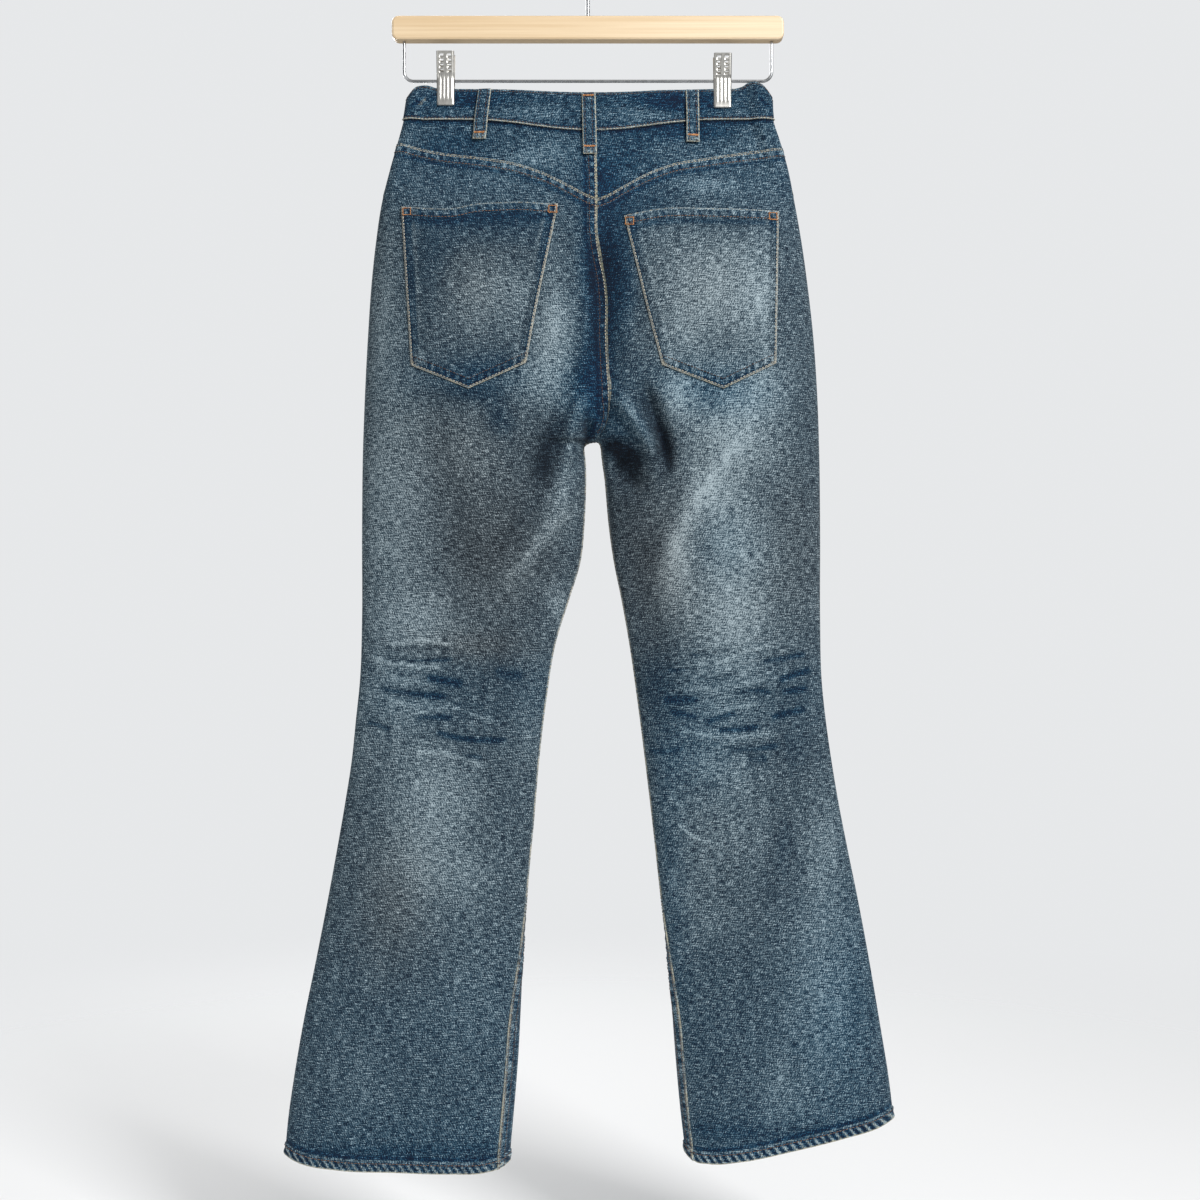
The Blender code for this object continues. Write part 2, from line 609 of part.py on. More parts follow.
def yoke(side, denim):
    """The shaped piece between the waistband and a back panel."""
    steps = np.array([0.0, 0.14, 0.36, 0.6, 0.82, 1.0])
    phi = columns_with_band(side, np.full(len(steps), YOKE_Z), 13)
    share = share_of(phi)
    z = np.full(phi.shape, YOKE_Z)
    for _ in range(6):
        outer = outer_edge(side, z)
        x = outer + share * (inner_edge(side, "back", z) - outer)
        top = waist_seam_z("back", x, np.abs(x - outer))
        z = top + (yoke_seam_z(side, x) - top) * steps[:, None]
    px, py = section(side, "back", phi, z)
    inside = np.stack([px, py, z], -1)
    thick = np.full(phi.shape, DENIM)
    if side == "left":
        thick[:, -3:] += SEAM_EXTRA
    outside = inside + normals(side, "back", phi, z) * thick[..., None]
    for grid in (inside, outside):
        trim(grid, "first_row", GAP / 2)
        trim(grid, "last_row", GAP / 2)
        trim(grid, "first_column", GAP / 2)
    seal_centre(side, inside, outside, np.full(len(steps), YOKE_Z))
    return solid(f"{side}_yoke", inside, outside, denim)


def scoop_width(side):
    """The scoop's width at the waist seam, as a share of the front's width."""
    return SCOOP_WIDTH / abs(inner_edge(side, "front", -220.0) - outer_edge(side, -220.0))


def front_seam(x, from_fold):
    return waist_seam_z("front", x, from_fold)


def front_columns(side, heights, starts):
    """phi of a front's columns, from its edge at the side or scoop to the centre or inseam."""
    width = np.abs(inner_edge(side, "front", heights) - outer_edge(side, heights))
    last = inseam_phi(side, heights)
    first = 2 - np.arccos(1 - 2 * starts) / math.pi
    share_band = np.clip(share_of(last) - SEAM_BAND / width, 0.0, 1.0)
    band = 2 - np.arccos(1 - 2 * share_band) / math.pi
    band = np.where(heights < INSEAM_TURN_Z[0], np.minimum(band, last + 0.16), band)
    band = np.maximum(band, last + 0.05)
    turned = np.linspace(0.0, 1.0, 10)
    body = first[:, None] + (band + 0.012 - first)[:, None] * turned
    return np.concatenate(
        [body, band[:, None], ((band + last) / 2)[:, None], last[:, None]], axis=1
    )


def front_panel(side, denim):
    """One front: scooped out for its pocket at the top; the left one laps at the fly."""
    rows = np.array(FRONT_ROWS, float)
    heights = np.concatenate([FRONT_SEAM_Z - SCOOP_DEPTH * np.sin(SCOOP_TURNS), rows])
    starts = np.concatenate([scoop_width(side) * np.cos(SCOOP_TURNS), 0 * rows])
    starts[len(SCOOP_TURNS) - 1] = 0.0
    phi = front_columns(side, heights, starts)
    share = share_of(phi)
    level = heights[:, None] + 0 * phi
    z = rows_to_seam(side, "front", share, level, front_seam, FRONT_SEAM_Z)
    px, py = section(side, "front", phi, z)
    inside = np.stack([px, py, z], -1)
    thick = np.full(phi.shape, DENIM)
    thick[:, -3:] += SEAM_EXTRA * (heights < FORK_Z)[:, None]
    thick += hem_extra(heights)[:, None]
    outside = inside + normals(side, "front", phi, z) * thick[..., None]
    for grid in (inside, outside):
        trim(grid, "first_row", GAP / 2)
        trim(grid, "first_column", GAP / 2)
        trim(grid[legs_from(heights):], "last_column", LEG_TRIM)
    seal_centre(side, inside, outside, heights)
    if side == "left":
        from_centre = np.abs(px - inner_edge(side, "front", z))
        low = FRONT_SEAM_Z - FLY_LENGTH
        for grid in (inside, outside):
            grid[..., 0] += LAP * smoothstep(16.0, 0.0, from_centre) * smoothstep(low - 8, low + 22, z)
            grid[..., 1] += LAP_LIFT * smoothstep(17.0, 8.0, from_centre) * smoothstep(low - 48, low - 10, z)
    return solid(f"{side}_front", inside, outside, denim)


def facing_grid(side):
    """Shares of the width and drops below the waist seam of the facing's points. Its first
    column runs along the waist seam and down the side, its last two lie under the front."""
    count = len(SCOOP_TURNS)
    corner = (count - 1) // 2
    run = np.arange(count)
    near_share = 0.5 * scoop_width(side) * np.clip(1 - run / corner, 0.0, 1.0)
    near_drop = 0.5 * SCOOP_DEPTH * np.clip(run / corner - 1, 0.0, 1.0)
    far_share = scoop_width(side) * np.cos(SCOOP_TURNS)
    far_share[-1] = 0.0
    far_drop = SCOOP_DEPTH * np.sin(SCOOP_TURNS)
    reach = np.minimum(FACING_COLUMNS, 1.0)
    beyond = np.maximum(FACING_COLUMNS, 1.0)
    share = (near_share[:, None] + (far_share - near_share)[:, None] * reach) * beyond
    drop = (near_drop[:, None] + (far_drop - near_drop)[:, None] * reach) * beyond
    return share, drop


def pocket_facing(side, denim):
    """The piece of denim that shows in the scoop, tucked under the front panel."""
    share, drop = facing_grid(side)
    level = FRONT_SEAM_Z - np.maximum(drop, GAP)
    z = rows_to_seam(side, "front", share, level, front_seam, FRONT_SEAM_Z)
    phi = 2 - np.arccos(1 - 2 * share) / math.pi
    px, py = section(side, "front", phi, z)
    n = normals(side, "front", phi, z)
    sunk = (FACING_SINK + 0 * share)[..., None]
    inside = np.stack([px, py, z], -1) - n * sunk
    outside = inside + n * DENIM
    for grid in (inside, outside):
        grid[..., 1] += np.where(share < 1e-9, 0.2, 0.0)
    return solid(f"{side}_pocket_facing", inside, outside, denim)


def waist_shares(side, face):
    """Shares of the width at which the pieces under the waistband have their points."""
    if face == "back":
        return share_of(columns_with_band(side, np.array([YOKE_Z]), 13)[0])
    share, drop = facing_grid(side)
    facing = share[drop < 1e-9]
    start = np.array([scoop_width(side)])
    panel = share_of(front_columns(side, np.array([FRONT_SEAM_Z]), start)[0])
    every = np.sort(np.concatenate([facing, panel]))
    return every[np.concatenate([[True], np.diff(every) > 0.008])]


def waistband(denim):
    """A strip of two layers once round the waist, its ends lapped at the front."""
    stations = [("right", "front", share) for share in waist_shares("right", "front")[::-1]]
    stations += [("right", "back", share) for share in waist_shares("right", "back")[1:]]
    stations += [("left", "back", share) for share in waist_shares("left", "back")[-2::-1]]
    stations += [("left", "front", share) for share in waist_shares("left", "front")[1:]]
    inside, outside = [], []
    for side, face, share in stations:
        sign = -1 if face == "back" else 1
        wall_in, wall_out = [], []
        for t in (0.0, 0.33, 0.67, 1.0):
            z = np.array(WAIST_SEAM_Z)
            for _ in range(6):
                outer = outer_edge(side, z)
                x = outer + (inner_edge(side, face, z) - outer) * share
                away = abs(x - outer)
                top = waist_top_z(face, side, x, away)
                z = top + (waist_seam_z(face, x, away) - top) * t
            point = np.array([x, sign * waist_half(side, away), z])
            step = 0.05
            growth = waist_half(side, away + step) - waist_half(side, max(away - step, 0.0))
            slope = growth / (step + min(away, step))
            n = np.array([SIGN[side] * slope, sign * 1.0, 0.0])
            if away < 1e-6:
                n = np.array([SIGN[side] * 1.0, 0.0, 0.0])
            n /= np.linalg.norm(n)
            # The right end runs under the left one, which ends in a tab.
            end = 1 - abs(x - inner_edge(side, face, z)) / 40.0
            if face == "front" and end > 0:
                point[0] += (UNDERLAP if side == "right" else TAB) * end
                if side == "left":
                    point[1] += TAB_LIFT * smoothstep(TAB_RAMP[0], TAB_RAMP[1], point[0])
            wall_in.append(point)
            wall_out.append(point + n * WAISTBAND_WALL)
        inside.append(wall_in)
        outside.append(wall_out)
    inside = np.array(inside).transpose(1, 0, 2)
    outside = np.array(outside).transpose(1, 0, 2)
    for grid in (inside, outside):
        trim(grid, "last_row", GAP / 2)
    return solid("waistband", inside, outside, denim)


def patch_on(name, panel, corners, hem, material):
    """A patch that lies on a panel: the panel's own outer points inside the corners, moved out.
    The corners run clockwise as seen from behind, and the first edge is the turned-down hem."""
    shape = bmesh.new()
    rows, columns = panel.shape[:2]
    made = [[shape.verts.new(panel[r, c] * MM) for c in range(columns)] for r in range(rows)]
    for r in range(rows - 1):
        for c in range(columns - 1):
            a, b, e, f = made[r][c], made[r][c + 1], made[r + 1][c + 1], made[r + 1][c]
            shape.faces.new((a, b, e))
            shape.faces.new((a, e, f))
    shape.normal_update()
    steep = shape.verts.layers.float.new("steep")
    for v in shape.verts:
        v[steep] = 1 / max(0.5, abs(v.normal.y))

    def cut(start, end, shift, clear):
        run = np.array([end[0] - start[0], end[1] - start[1]], float)
        away = np.array([-run[1], run[0]]) / np.linalg.norm(run)
        at = np.array(start, float) + away * shift
        bmesh.ops.bisect_plane(
            shape, geom=shape.verts[:] + shape.edges[:] + shape.faces[:], dist=2e-5,
            plane_co=(at[0] * MM, 0.0, at[1] * MM), plane_no=(away[0], 0.0, away[1]),
            clear_outer=clear)
        return at, away

    for start, end in zip(corners, corners[1:] + corners[:1]):
        cut(start, end, 0.0, True)
    cut(corners[0], corners[1], -hem - EDGE_RAMP, False)
    at, away = cut(corners[0], corners[1], -hem, False)

    shape.verts.index_update()
    low, high = [], []
    for v in shape.verts:
        x, y, z = (value / MM for value in v.co)
        on_hem = (x - at[0]) * away[0] + (z - at[1]) * away[1] > -0.02
        thick = DENIM + (POCKET_HEM_EXTRA if on_hem else 0.0)
        low.append((x, y - GAP * v[steep], z))
        high.append((x, y - (GAP + thick) * v[steep], z))
    count = len(low)
    faces = [tuple(v.index for v in f.verts) for f in shape.faces]
    solid_faces = [tuple(i + count for i in f) for f in faces] + [f[::-1] for f in faces]
    for edge in shape.edges:
        if edge.is_boundary:
            i, j = (v.index for v in edge.verts)
            solid_faces.append((i, j, j + count, i + count))
    shape.free()
    mesh = bpy.data.meshes.new(name)
    mesh.from_pydata((np.array(low + high) * MM).tolist(), [], solid_faces)
    return finish_object(name, mesh, material)


def back_pocket(side, panel, denim):
    """A patch of one layer on the back panel, its top edge turned down."""
    pocket = POCKETS[side]
    corners = [pocket.outer_top, pocket.inner_top, pocket.inner_low, pocket.point,
               pocket.outer_low]
    if side == "right":
        corners = [corners[1], corners[0], corners[4], corners[3], corners[2]]
    return patch_on(f"{side}_back_pocket", panel, corners, POCKET_HEM, denim)


def belt_loop(loop, denim):
    """A folded strip over the waistband, sewn down at its top and below the waist seam."""
    steps = np.array([0.0, 0.07, 0.2, 0.38, 0.56, 0.72, 0.86, 1.0])
    across = np.array([-0.5, -0.42, 0.42, 0.5])
    middle = loop.x_top + (loop.x_low - loop.x_top) * steps
    x = middle[:, None] + LOOP_WIDTH * across[None, :]
    z = loop.z_top + (loop.z_low - loop.z_top) * steps[:, None] + 0 * x
    side = "left" if loop.x_top < 0 else "right"
    on_band = WAISTBAND_WALL + GAP
    on_cloth = DENIM + 0.8 + (SEAM_EXTRA if loop.name == "loop_back_centre" else 0.0)
    seam = waist_seam_z(loop.face, x, np.abs(x - outer_edge(side, z)))
    settle = smoothstep(seam - 2.0, loop.z_low + 3.0, z)
    lift = on_band + (on_cloth - on_band) * settle
    lift = lift + LOOP_BOW * np.sin(math.pi * np.clip(steps, 0.0, 1.0))[:, None] ** 2
    inside, outside = [], []
    for offset, target in ((0.0, inside), (LOOP_WALL, outside)):
        left = cloth_point("left", loop.face, x, z, lift + offset)
        right = cloth_point("right", loop.face, x, z, lift + offset)
        centre = inner_edge("left", loop.face, z)
        target.append(np.where((x < centre)[..., None], left, right))
    return solid(loop.name, inside[0], outside[0], denim)


def waist_button(metal):
    """A domed metal button on the lapped end of the waistband."""
    z = (waist_top_z("front", "left", BUTTON_X, 180.0) + waist_seam_z("front", BUTTON_X, 180.0)) / 2
    base = waist_half("left", 180.0) + TAB_LIFT + WAISTBAND_WALL + GAP
    profile = [(2.6, 0.0), (2.6, 1.4), (7.6, 1.4), (BUTTON_RADIUS, 2.0), (BUTTON_RADIUS, 2.9),
               (7.4, 3.7), (4.0, 4.1)]
    segments = 24
    shape = bmesh.new()
    rings = []
    for radius, height in profile:
        ring = []
        for k in range(segments):
            angle = 2 * math.pi * k / segments
            ring.append(shape.verts.new((
                (BUTTON_X + radius * math.cos(angle)) * MM,
                (base + height) * MM,
                (z + radius * math.sin(angle)) * MM,
            )))
        rings.append(ring)
    for low, high in zip(rings, rings[1:]):
        for k in range(segments):
            shape.faces.new((low[k], low[(k + 1) % segments], high[(k + 1) % segments], high[k]))
    shape.faces.new(rings[0])
    shape.faces.new(rings[-1])
    mesh = bpy.data.meshes.new("waist_button")
    shape.to_mesh(mesh)
    shape.free()
    return finish_object("waist_button", mesh, metal)


def cutter(name, x, low_z, high_z, radius):
    """A hidden cylinder that drills the bar."""
    shape = bmesh.new()
    bmesh.ops.create_cone(shape, cap_ends=True, segments=16, radius1=radius * MM,
                          radius2=radius * MM, depth=(high_z - low_z) * MM)
    mesh = bpy.data.meshes.new(name)
    shape.to_mesh(mesh)
    shape.free()
    obj = bpy.data.objects.new(name, mesh)
    obj.location = (x * MM, 0.0, (low_z + high_z) / 2 * MM)
    obj.hide_render = True
    obj.display_type = "WIRE"
    bpy.context.scene.collection.objects.link(obj)
    return obj


def hanger_bar(wood):
    """The wooden bar, its corners rounded, drilled for the hook and the wire frame."""
    shape = bmesh.new()
    bmesh.ops.create_cube(shape, size=1.0)
    bmesh.ops.scale(shape, verts=shape.verts, vec=(BAR_LENGTH * MM, BAR_DEPTH * MM, BAR_HEIGHT * MM))
    bmesh.ops.translate(shape, verts=shape.verts,
                        vec=(BAR_X * MM, 0.0, (BAR_TOP_Z - BAR_HEIGHT / 2) * MM))
    ends = [e for e in shape.edges if abs(e.verts[0].co.y - e.verts[1].co.y) > 0.5 * BAR_DEPTH * MM]
    bmesh.ops.bevel(shape, geom=ends, offset=BAR_CORNER * MM, offset_type="OFFSET", segments=5,
                    profile=0.5, affect="EDGES")
    face_edges = [e for e in shape.edges if abs(abs(e.verts[0].co.y) - BAR_DEPTH / 2 * MM) < 1e-6
                  and abs(e.verts[0].co.y - e.verts[1].co.y) < 1e-7]
    bmesh.ops.bevel(shape, geom=face_edges, offset=BAR_EDGE * MM, offset_type="OFFSET", segments=2,
                    profile=0.5, affect="EDGES")
    mesh = bpy.data.meshes.new("hanger_bar")
    shape.to_mesh(mesh)
    shape.free()
    bar = finish_object("hanger_bar", mesh, wood)
    low = BAR_TOP_Z - BAR_HEIGHT
    holes = [cutter("hook_hole", BAR_X, BAR_TOP_Z - HOOK_SOCKET, BAR_TOP_Z + 5, HOOK_RADIUS + GAP)]
    for sign in (-1, 1):
        holes.append(cutter(f"wire_hole_{'left' if sign < 0 else 'right'}",
                            BAR_X + sign * WIRE_REACH, low - 5, low + WIRE_SOCKET,
                            WIRE_RADIUS + GAP))
    for hole in holes:
        cut = bar.modifiers.new(hole.name, "BOOLEAN")
        cut.operation = "DIFFERENCE"
        cut.object = hole
    return bar


def bent_wire(name, route, radius, sides, metal):
    """A round wire along a route of points in millimetres."""
    curve = bpy.data.curves.new(name, "CURVE")
    curve.dimensions = "3D"
    curve.bevel_depth = radius * MM
    curve.bevel_resolution = sides
    curve.use_fill_caps = True
    spline = curve.splines.new("POLY")
    spline.points.add(len(route) - 1)
    for point, place in zip(spline.points, route):
        point.co = (*(value * MM for value in place), 1.0)
    curve.materials.append(metal)
    obj = bpy.data.objects.new(name, curve)
    bpy.context.scene.collection.objects.link(obj)
    obj.parent = bpy.data.objects["jeans_on_hanger"]
    return obj


def arc(centre_x, centre_z, radius, start, end, steps):
    """Points of an arc in the XZ plane, angles in degrees from +X towards +Z."""
    return [
        (centre_x + radius * math.cos(math.radians(a)), 0.0,
         centre_z + radius * math.sin(math.radians(a)))
        for a in np.linspace(start, end, steps)
    ]


def hanger_hook(metal):
    """The hook: a shank out of the bar, bent aside and round over the origin."""
    eye_z = HOOK_RADIUS - HOOK_EYE
    # The shank's bend touches the eye's curve where both run at right angles to this spoke.
    bend = 13.0
    spoke = math.degrees(math.acos((bend - BAR_X) / (HOOK_EYE + bend)))
    join_x = HOOK_EYE * math.cos(math.radians(spoke))
    join_z = eye_z - HOOK_EYE * math.sin(math.radians(spoke))
    bend_x = BAR_X + bend
    bend_z = join_z - bend * math.sin(math.radians(spoke))
    route = [(BAR_X, 0.0, BAR_TOP_Z - HOOK_SOCKET + GAP), (BAR_X, 0.0, bend_z - 6)]
    route += arc(bend_x, bend_z, bend, 180, 180 - spoke, 7)[:-1]
    shift = bend_x - bend * math.cos(math.radians(spoke)) - join_x
    eye = arc(0.0, eye_z, HOOK_EYE, -spoke, 205, 26)
    route += [(x + shift * (1 - i / 10), y, z) if i < 10 else (x, y, z)
              for i, (x, y, z) in enumerate(eye)]
    return bent_wire("hanger_hook", route, HOOK_RADIUS, 2, metal)


def hanger_wire(metal):
    """The U-shaped wire under the bar, which carries the clips."""
    top = BAR_TOP_Z - BAR_HEIGHT + WIRE_SOCKET - GAP
    left, right = BAR_X - WIRE_REACH, BAR_X + WIRE_REACH
    low = WIRE_Z + WIRE_BEND
    route = [(left, 0.0, top)]
    route += arc(left + WIRE_BEND, low, WIRE_BEND, 180, 270, 7)
    route += arc(right - WIRE_BEND, low, WIRE_BEND, 270, 360, 7)
    route += [(right, 0.0, top)]
    return bent_wire("hanger_wire", route, WIRE_RADIUS, 2, metal)


def clip_plate(clip, face, metal):
    """One jaw of a clip: a flat plate on the waistband whose thumb tab bends away above."""
    sign = -1 if face == "back" else 1
    jaw = WAIST_PRESSED + WAISTBAND_WALL + GAP
    profile = [  # z and distance from the middle plane, from the jaw's lip up to the tab
        (clip.low_z, jaw + 0.5), (clip.low_z + 1.5, jaw), (-137.5, jaw), (-132.0, jaw + 0.8),
        (clip.top_z + 1.6, CLIP_FLARE - 1.0), (clip.top_z, CLIP_FLARE),
    ]
    edges = (clip.x - CLIP_WIDTH / 2, clip.x + CLIP_WIDTH / 2)
    if face == "back":
        edges = edges[::-1]
    inside, outside = [], []
    for z, away in profile:
        inside.append([(x, sign * away, z) for x in edges])
        outside.append([(x, sign * (away + CLIP_WALL), z) for x in edges])
    name = f"{clip.name}_{'outer' if face == 'back' else 'inner'}_jaw"
    return solid(name, np.array(inside), np.array(outside), metal)


def clip_barrel(clip, metal):
    """The coiled spring's barrel, round the wire and between the jaws."""
    segments = 16
    half = 6.0
    shape = bmesh.new()
    rings = []
    for radius, dx in ((BARREL_RADIUS, -half), (BARREL_RADIUS, half),
                       (WIRE_RADIUS + GAP, half), (WIRE_RADIUS + GAP, -half)):
        ring = []
        for k in range(segments):
            angle = 2 * math.pi * k / segments
            ring.append(shape.verts.new(((clip.x + dx) * MM, radius * math.cos(angle) * MM,
                                         (WIRE_Z + radius * math.sin(angle)) * MM)))
        rings.append(ring)
    for i in range(4):
        low, high = rings[i], rings[(i + 1) % 4]
        for k in range(segments):
            shape.faces.new((low[k], low[(k + 1) % segments], high[(k + 1) % segments], high[k]))
    name = f"{clip.name}_spring"
    mesh = bpy.data.meshes.new(name)
    shape.to_mesh(mesh)
    shape.free()
    return finish_object(name, mesh, metal)


def main():
    for obj in list(bpy.data.objects):
        bpy.data.objects.remove(obj)
    root = bpy.data.objects.new("jeans_on_hanger", None)
    bpy.context.scene.collection.objects.link(root)

    denim = material("denim", (0.075, 0.135, 0.205), 0.9)
    wood = material("pale_wood", (0.83, 0.68, 0.45), 0.5)
    steel = material("steel", (0.62, 0.62, 0.62), 0.3, 1.0)
    nickel = material("satin_nickel", (0.72, 0.71, 0.69), 0.4, 1.0)

    for side in ("left", "right"):
        panel = back_panel(side, denim)
        back_pocket(side, panel, denim)
        front_panel(side, denim)
        yoke(side, denim)
        pocket_facing(side, denim)
    waistband(denim)
    for loop in LOOPS:
        belt_loop(loop, denim)
    waist_button(nickel)

    hanger_bar(wood)
    hanger_hook(steel)
    hanger_wire(steel)
    for clip in CLIPS:
        clip_plate(clip, "back", nickel)
        clip_plate(clip, "front", nickel)
        clip_barrel(clip, nickel)


main()
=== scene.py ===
"""Worn bootcut jeans held by the waistband on a wooden clip hanger, seen from behind.

Sizes in the tables and functions are millimetres, as on a pattern; a piece is turned into metres
when its mesh is placed. The back of the jeans faces -Y and -X is the wearer's left.
"""

import json
import math
from collections import namedtuple
from contextlib import contextmanager

import bmesh
import bpy
import numpy as np
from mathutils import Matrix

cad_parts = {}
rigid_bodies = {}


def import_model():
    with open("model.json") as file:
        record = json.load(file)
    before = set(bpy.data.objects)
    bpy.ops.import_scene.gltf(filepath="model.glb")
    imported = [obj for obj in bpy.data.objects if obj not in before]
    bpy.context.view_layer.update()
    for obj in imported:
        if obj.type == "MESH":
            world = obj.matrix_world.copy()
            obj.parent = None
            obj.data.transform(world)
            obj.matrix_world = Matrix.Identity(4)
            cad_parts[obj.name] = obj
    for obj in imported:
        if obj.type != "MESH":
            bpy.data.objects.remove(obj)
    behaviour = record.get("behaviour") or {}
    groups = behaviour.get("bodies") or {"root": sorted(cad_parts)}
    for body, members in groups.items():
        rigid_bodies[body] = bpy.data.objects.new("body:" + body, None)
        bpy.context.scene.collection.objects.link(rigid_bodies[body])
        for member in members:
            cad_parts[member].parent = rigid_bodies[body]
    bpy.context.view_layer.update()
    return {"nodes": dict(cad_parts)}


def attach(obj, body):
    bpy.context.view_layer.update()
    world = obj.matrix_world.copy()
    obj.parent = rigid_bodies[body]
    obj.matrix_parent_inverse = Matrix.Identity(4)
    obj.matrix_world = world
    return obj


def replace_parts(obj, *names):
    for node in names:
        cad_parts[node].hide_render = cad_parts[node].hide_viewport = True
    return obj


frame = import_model()

MM = 0.001
SIGN = {"left": -1, "right": 1}
OUTWARD = {"back": -1, "front": 1}  # y, away from the body
SETTLING = 6  # rounds in which a height that depends on x is found

# Cloth
DENIM = 1.2
WAISTBAND_WALL = 2.4
SEAM_GAP = 0.3  # between a piece and what it lies on
HEM_EXTRA = 1.3
SEAM_EXTRA = 0.8
SEAM_BAND = 9.0
HEM_HEIGHT = 10.0

# Heights
FORK_Z = -494.8
FORK_X = 8.5
YOKE_Z = -235.0
YOKE_FADE_Z = -400.0
HEM_Z = -1190.0
HEM_FADE_Z = -1020.0
FRONT_SEAM_Z = -192.0

# Section of the tubes
ROUND_SHARE = 0.40
BACK_RISE_CURVE = 74.0
FRONT_RISE_CURVE = 52.0
ARCH = 8.5

Side = namedtuple("Side", "z left right")
SIDES = [  # the outline at the side folds
    Side(-140, -172.0, 176.0),
    Side(-157, -176.0, 180.0),
    Side(-181, -180.0, 182.0),
    Side(-200, -185.0, 188.0),
    Side(-230, -193.5, 196.5),
    Side(-260, -201.0, 202.5),
    Side(-303, -207.5, 210.0),
    Side(-347, -212.0, 216.0),
    Side(-392, -215.0, 221.0),
    Side(-450, -218.0, 225.0),
    Side(-504, -220.0, 227.0),
    Side(-590, -221.0, 228.0),
    Side(-671, -221.0, 228.0),
    Side(-730, -223.0, 229.5),
    Side(-769, -227.0, 233.5),
    Side(-808, -231.0, 239.0),
    Side(-850, -237.5, 246.0),
    Side(-896, -245.5, 255.0),
    Side(-945, -254.5, 265.0),
    Side(-1004, -266.0, 276.0),
    Side(-1063, -278.0, 286.0),
    Side(-1122, -288.0, 295.5),
    Side(-1161, -293.5, 300.0),
    Side(-1190, -296.0, 302.5),
    Side(-1215, -297.5, 304.0),
]
INSEAMS = [  # the outline at the inner folds of the legs
    Side(-480, -4.5, 13.0),
    Side(-503, -4.0, 13.7),
    Side(-516, -2.6, 15.0),
    Side(-532, -2.0, 17.3),
    Side(-550, -2.4, 18.9),
    Side(-576, -3.6, 21.2),
    Side(-611, -7.0, 26.0),
    Side(-651, -18.8, 34.0),
    Side(-690, -31.0, 41.0),
    Side(-749, -41.0, 49.5),
    Side(-808, -48.0, 57.0),
    Side(-867, -53.0, 64.0),
    Side(-926, -58.5, 70.5),
    Side(-984, -62.5, 77.0),
    Side(-1043, -65.0, 82.0),
    Side(-1102, -68.0, 86.5),
    Side(-1151, -72.0, 91.0),
    Side(-1190, -75.5, 95.5),
    Side(-1215, -77.5, 98.0),
]

Seam = namedtuple("Seam", "z back front")
CENTRE_SEAMS = [  # where the left and right halves meet, above the fork
    Seam(-140, 6.0, 5.0),
    Seam(-181, 7.0, 5.0),
    Seam(-228, 8.4, 6.0),
    Seam(-268, 9.0, 6.5),
    Seam(-296, 9.0, 7.0),
    Seam(-321, 12.5, 7.5),
    Seam(-342, 17.0, 8.0),
    Seam(-362, 19.0, 8.0),
    Seam(-394, 18.7, 8.5),
    Seam(-431, 20.2, 8.5),
    Seam(-453, 21.4, 8.5),
    Seam(-466, 20.8, 8.5),
    Seam(-484, 16.0, 8.5),
    Seam(FORK_Z, FORK_X, FORK_X),
]

Depth = namedtuple("Depth", "z back front")
DEPTHS = [  # how far each face stands from the plane of the side folds
    Depth(-140, 8.0, 7.0),
    Depth(-190, 10.0, 8.0),
    Depth(-240, 20.0, 11.0),
    Depth(-300, 29.0, 14.0),
    Depth(-370, 35.0, 17.0),
    Depth(-440, 37.0, 20.0),
    Depth(-500, 33.0, 22.0),
    Depth(-580, 27.0, 21.0),
    Depth(-680, 20.0, 18.0),
    Depth(-780, 17.0, 16.0),
    Depth(-900, 18.0, 17.0),
    Depth(-1050, 20.0, 19.0),
    Depth(-1190, 22.0, 21.0),
    Depth(-1215, 22.5, 21.5),
]

# The waist, where the clips press the two walls together
CLIP_SPAN = {"left": (17.0, 68.0), "right": (22.0, 78.0)}
WAIST_LOBE = 4.2
WAIST_LOBES = {"left": (3.3, 15.0, 9.0), "right": (6.4, 14.5, 11.0)}  # rise, middle, spread
WAIST_PRESSED = 0.3
WAIST_CENTRE = 7.2
WAIST_ROUND = 9.0
WAIST_FADE = (-186.0, -285.0)
WAIST_SEAM_Z = -181.5
WAIST_SEAM_DIP = 12.0
WAIST_TOP_Z = -151.0
WAIST_TOP_DIP = 5.0
WAIST_DIP_REACH = 125.0
FRONT_DIP = 14.0

YokeSeam = namedtuple("YokeSeam", "across left right")
YOKE_SEAM = [  # height of the seam under the yoke, from the side (0) to the centre (1)
    YokeSeam(0.00, -205.5, -209.5),
    YokeSeam(0.17, -213.5, -213.6),
    YokeSeam(0.41, -220.0, -220.2),
    YokeSeam(0.60, -227.3, -227.5),
    YokeSeam(0.74, -237.4, -238.2),
    YokeSeam(0.86, -249.6, -251.0),
    YokeSeam(0.95, -259.5, -260.8),
    YokeSeam(1.00, -264.0, -264.0),
]
YOKE_SIDES = {"left": -181.0, "right": 190.0}
YOKE_CENTRE = 8.8

Hem = namedtuple("Hem", "across left right")
HEMS = [  # height of the hem's edge, from the side (0) to the inner fold (1)
    Hem(0.00, -1192.5, -1157.0),
    Hem(0.06, -1197.5, -1162.5),
    Hem(0.25, -1203.0, -1172.5),
    Hem(0.50, -1204.8, -1184.5),
    Hem(0.75, -1206.8, -1195.0),
    Hem(0.90, -1207.0, -1198.5),
    Hem(0.97, -1203.5, -1196.5),
    Hem(1.00, -1199.0, -1190.5),
]
INSEAM_TURN = {"left": 0.145, "right": 0.12}
INSEAM_TURN_Z = (-900.0, -1080.0)

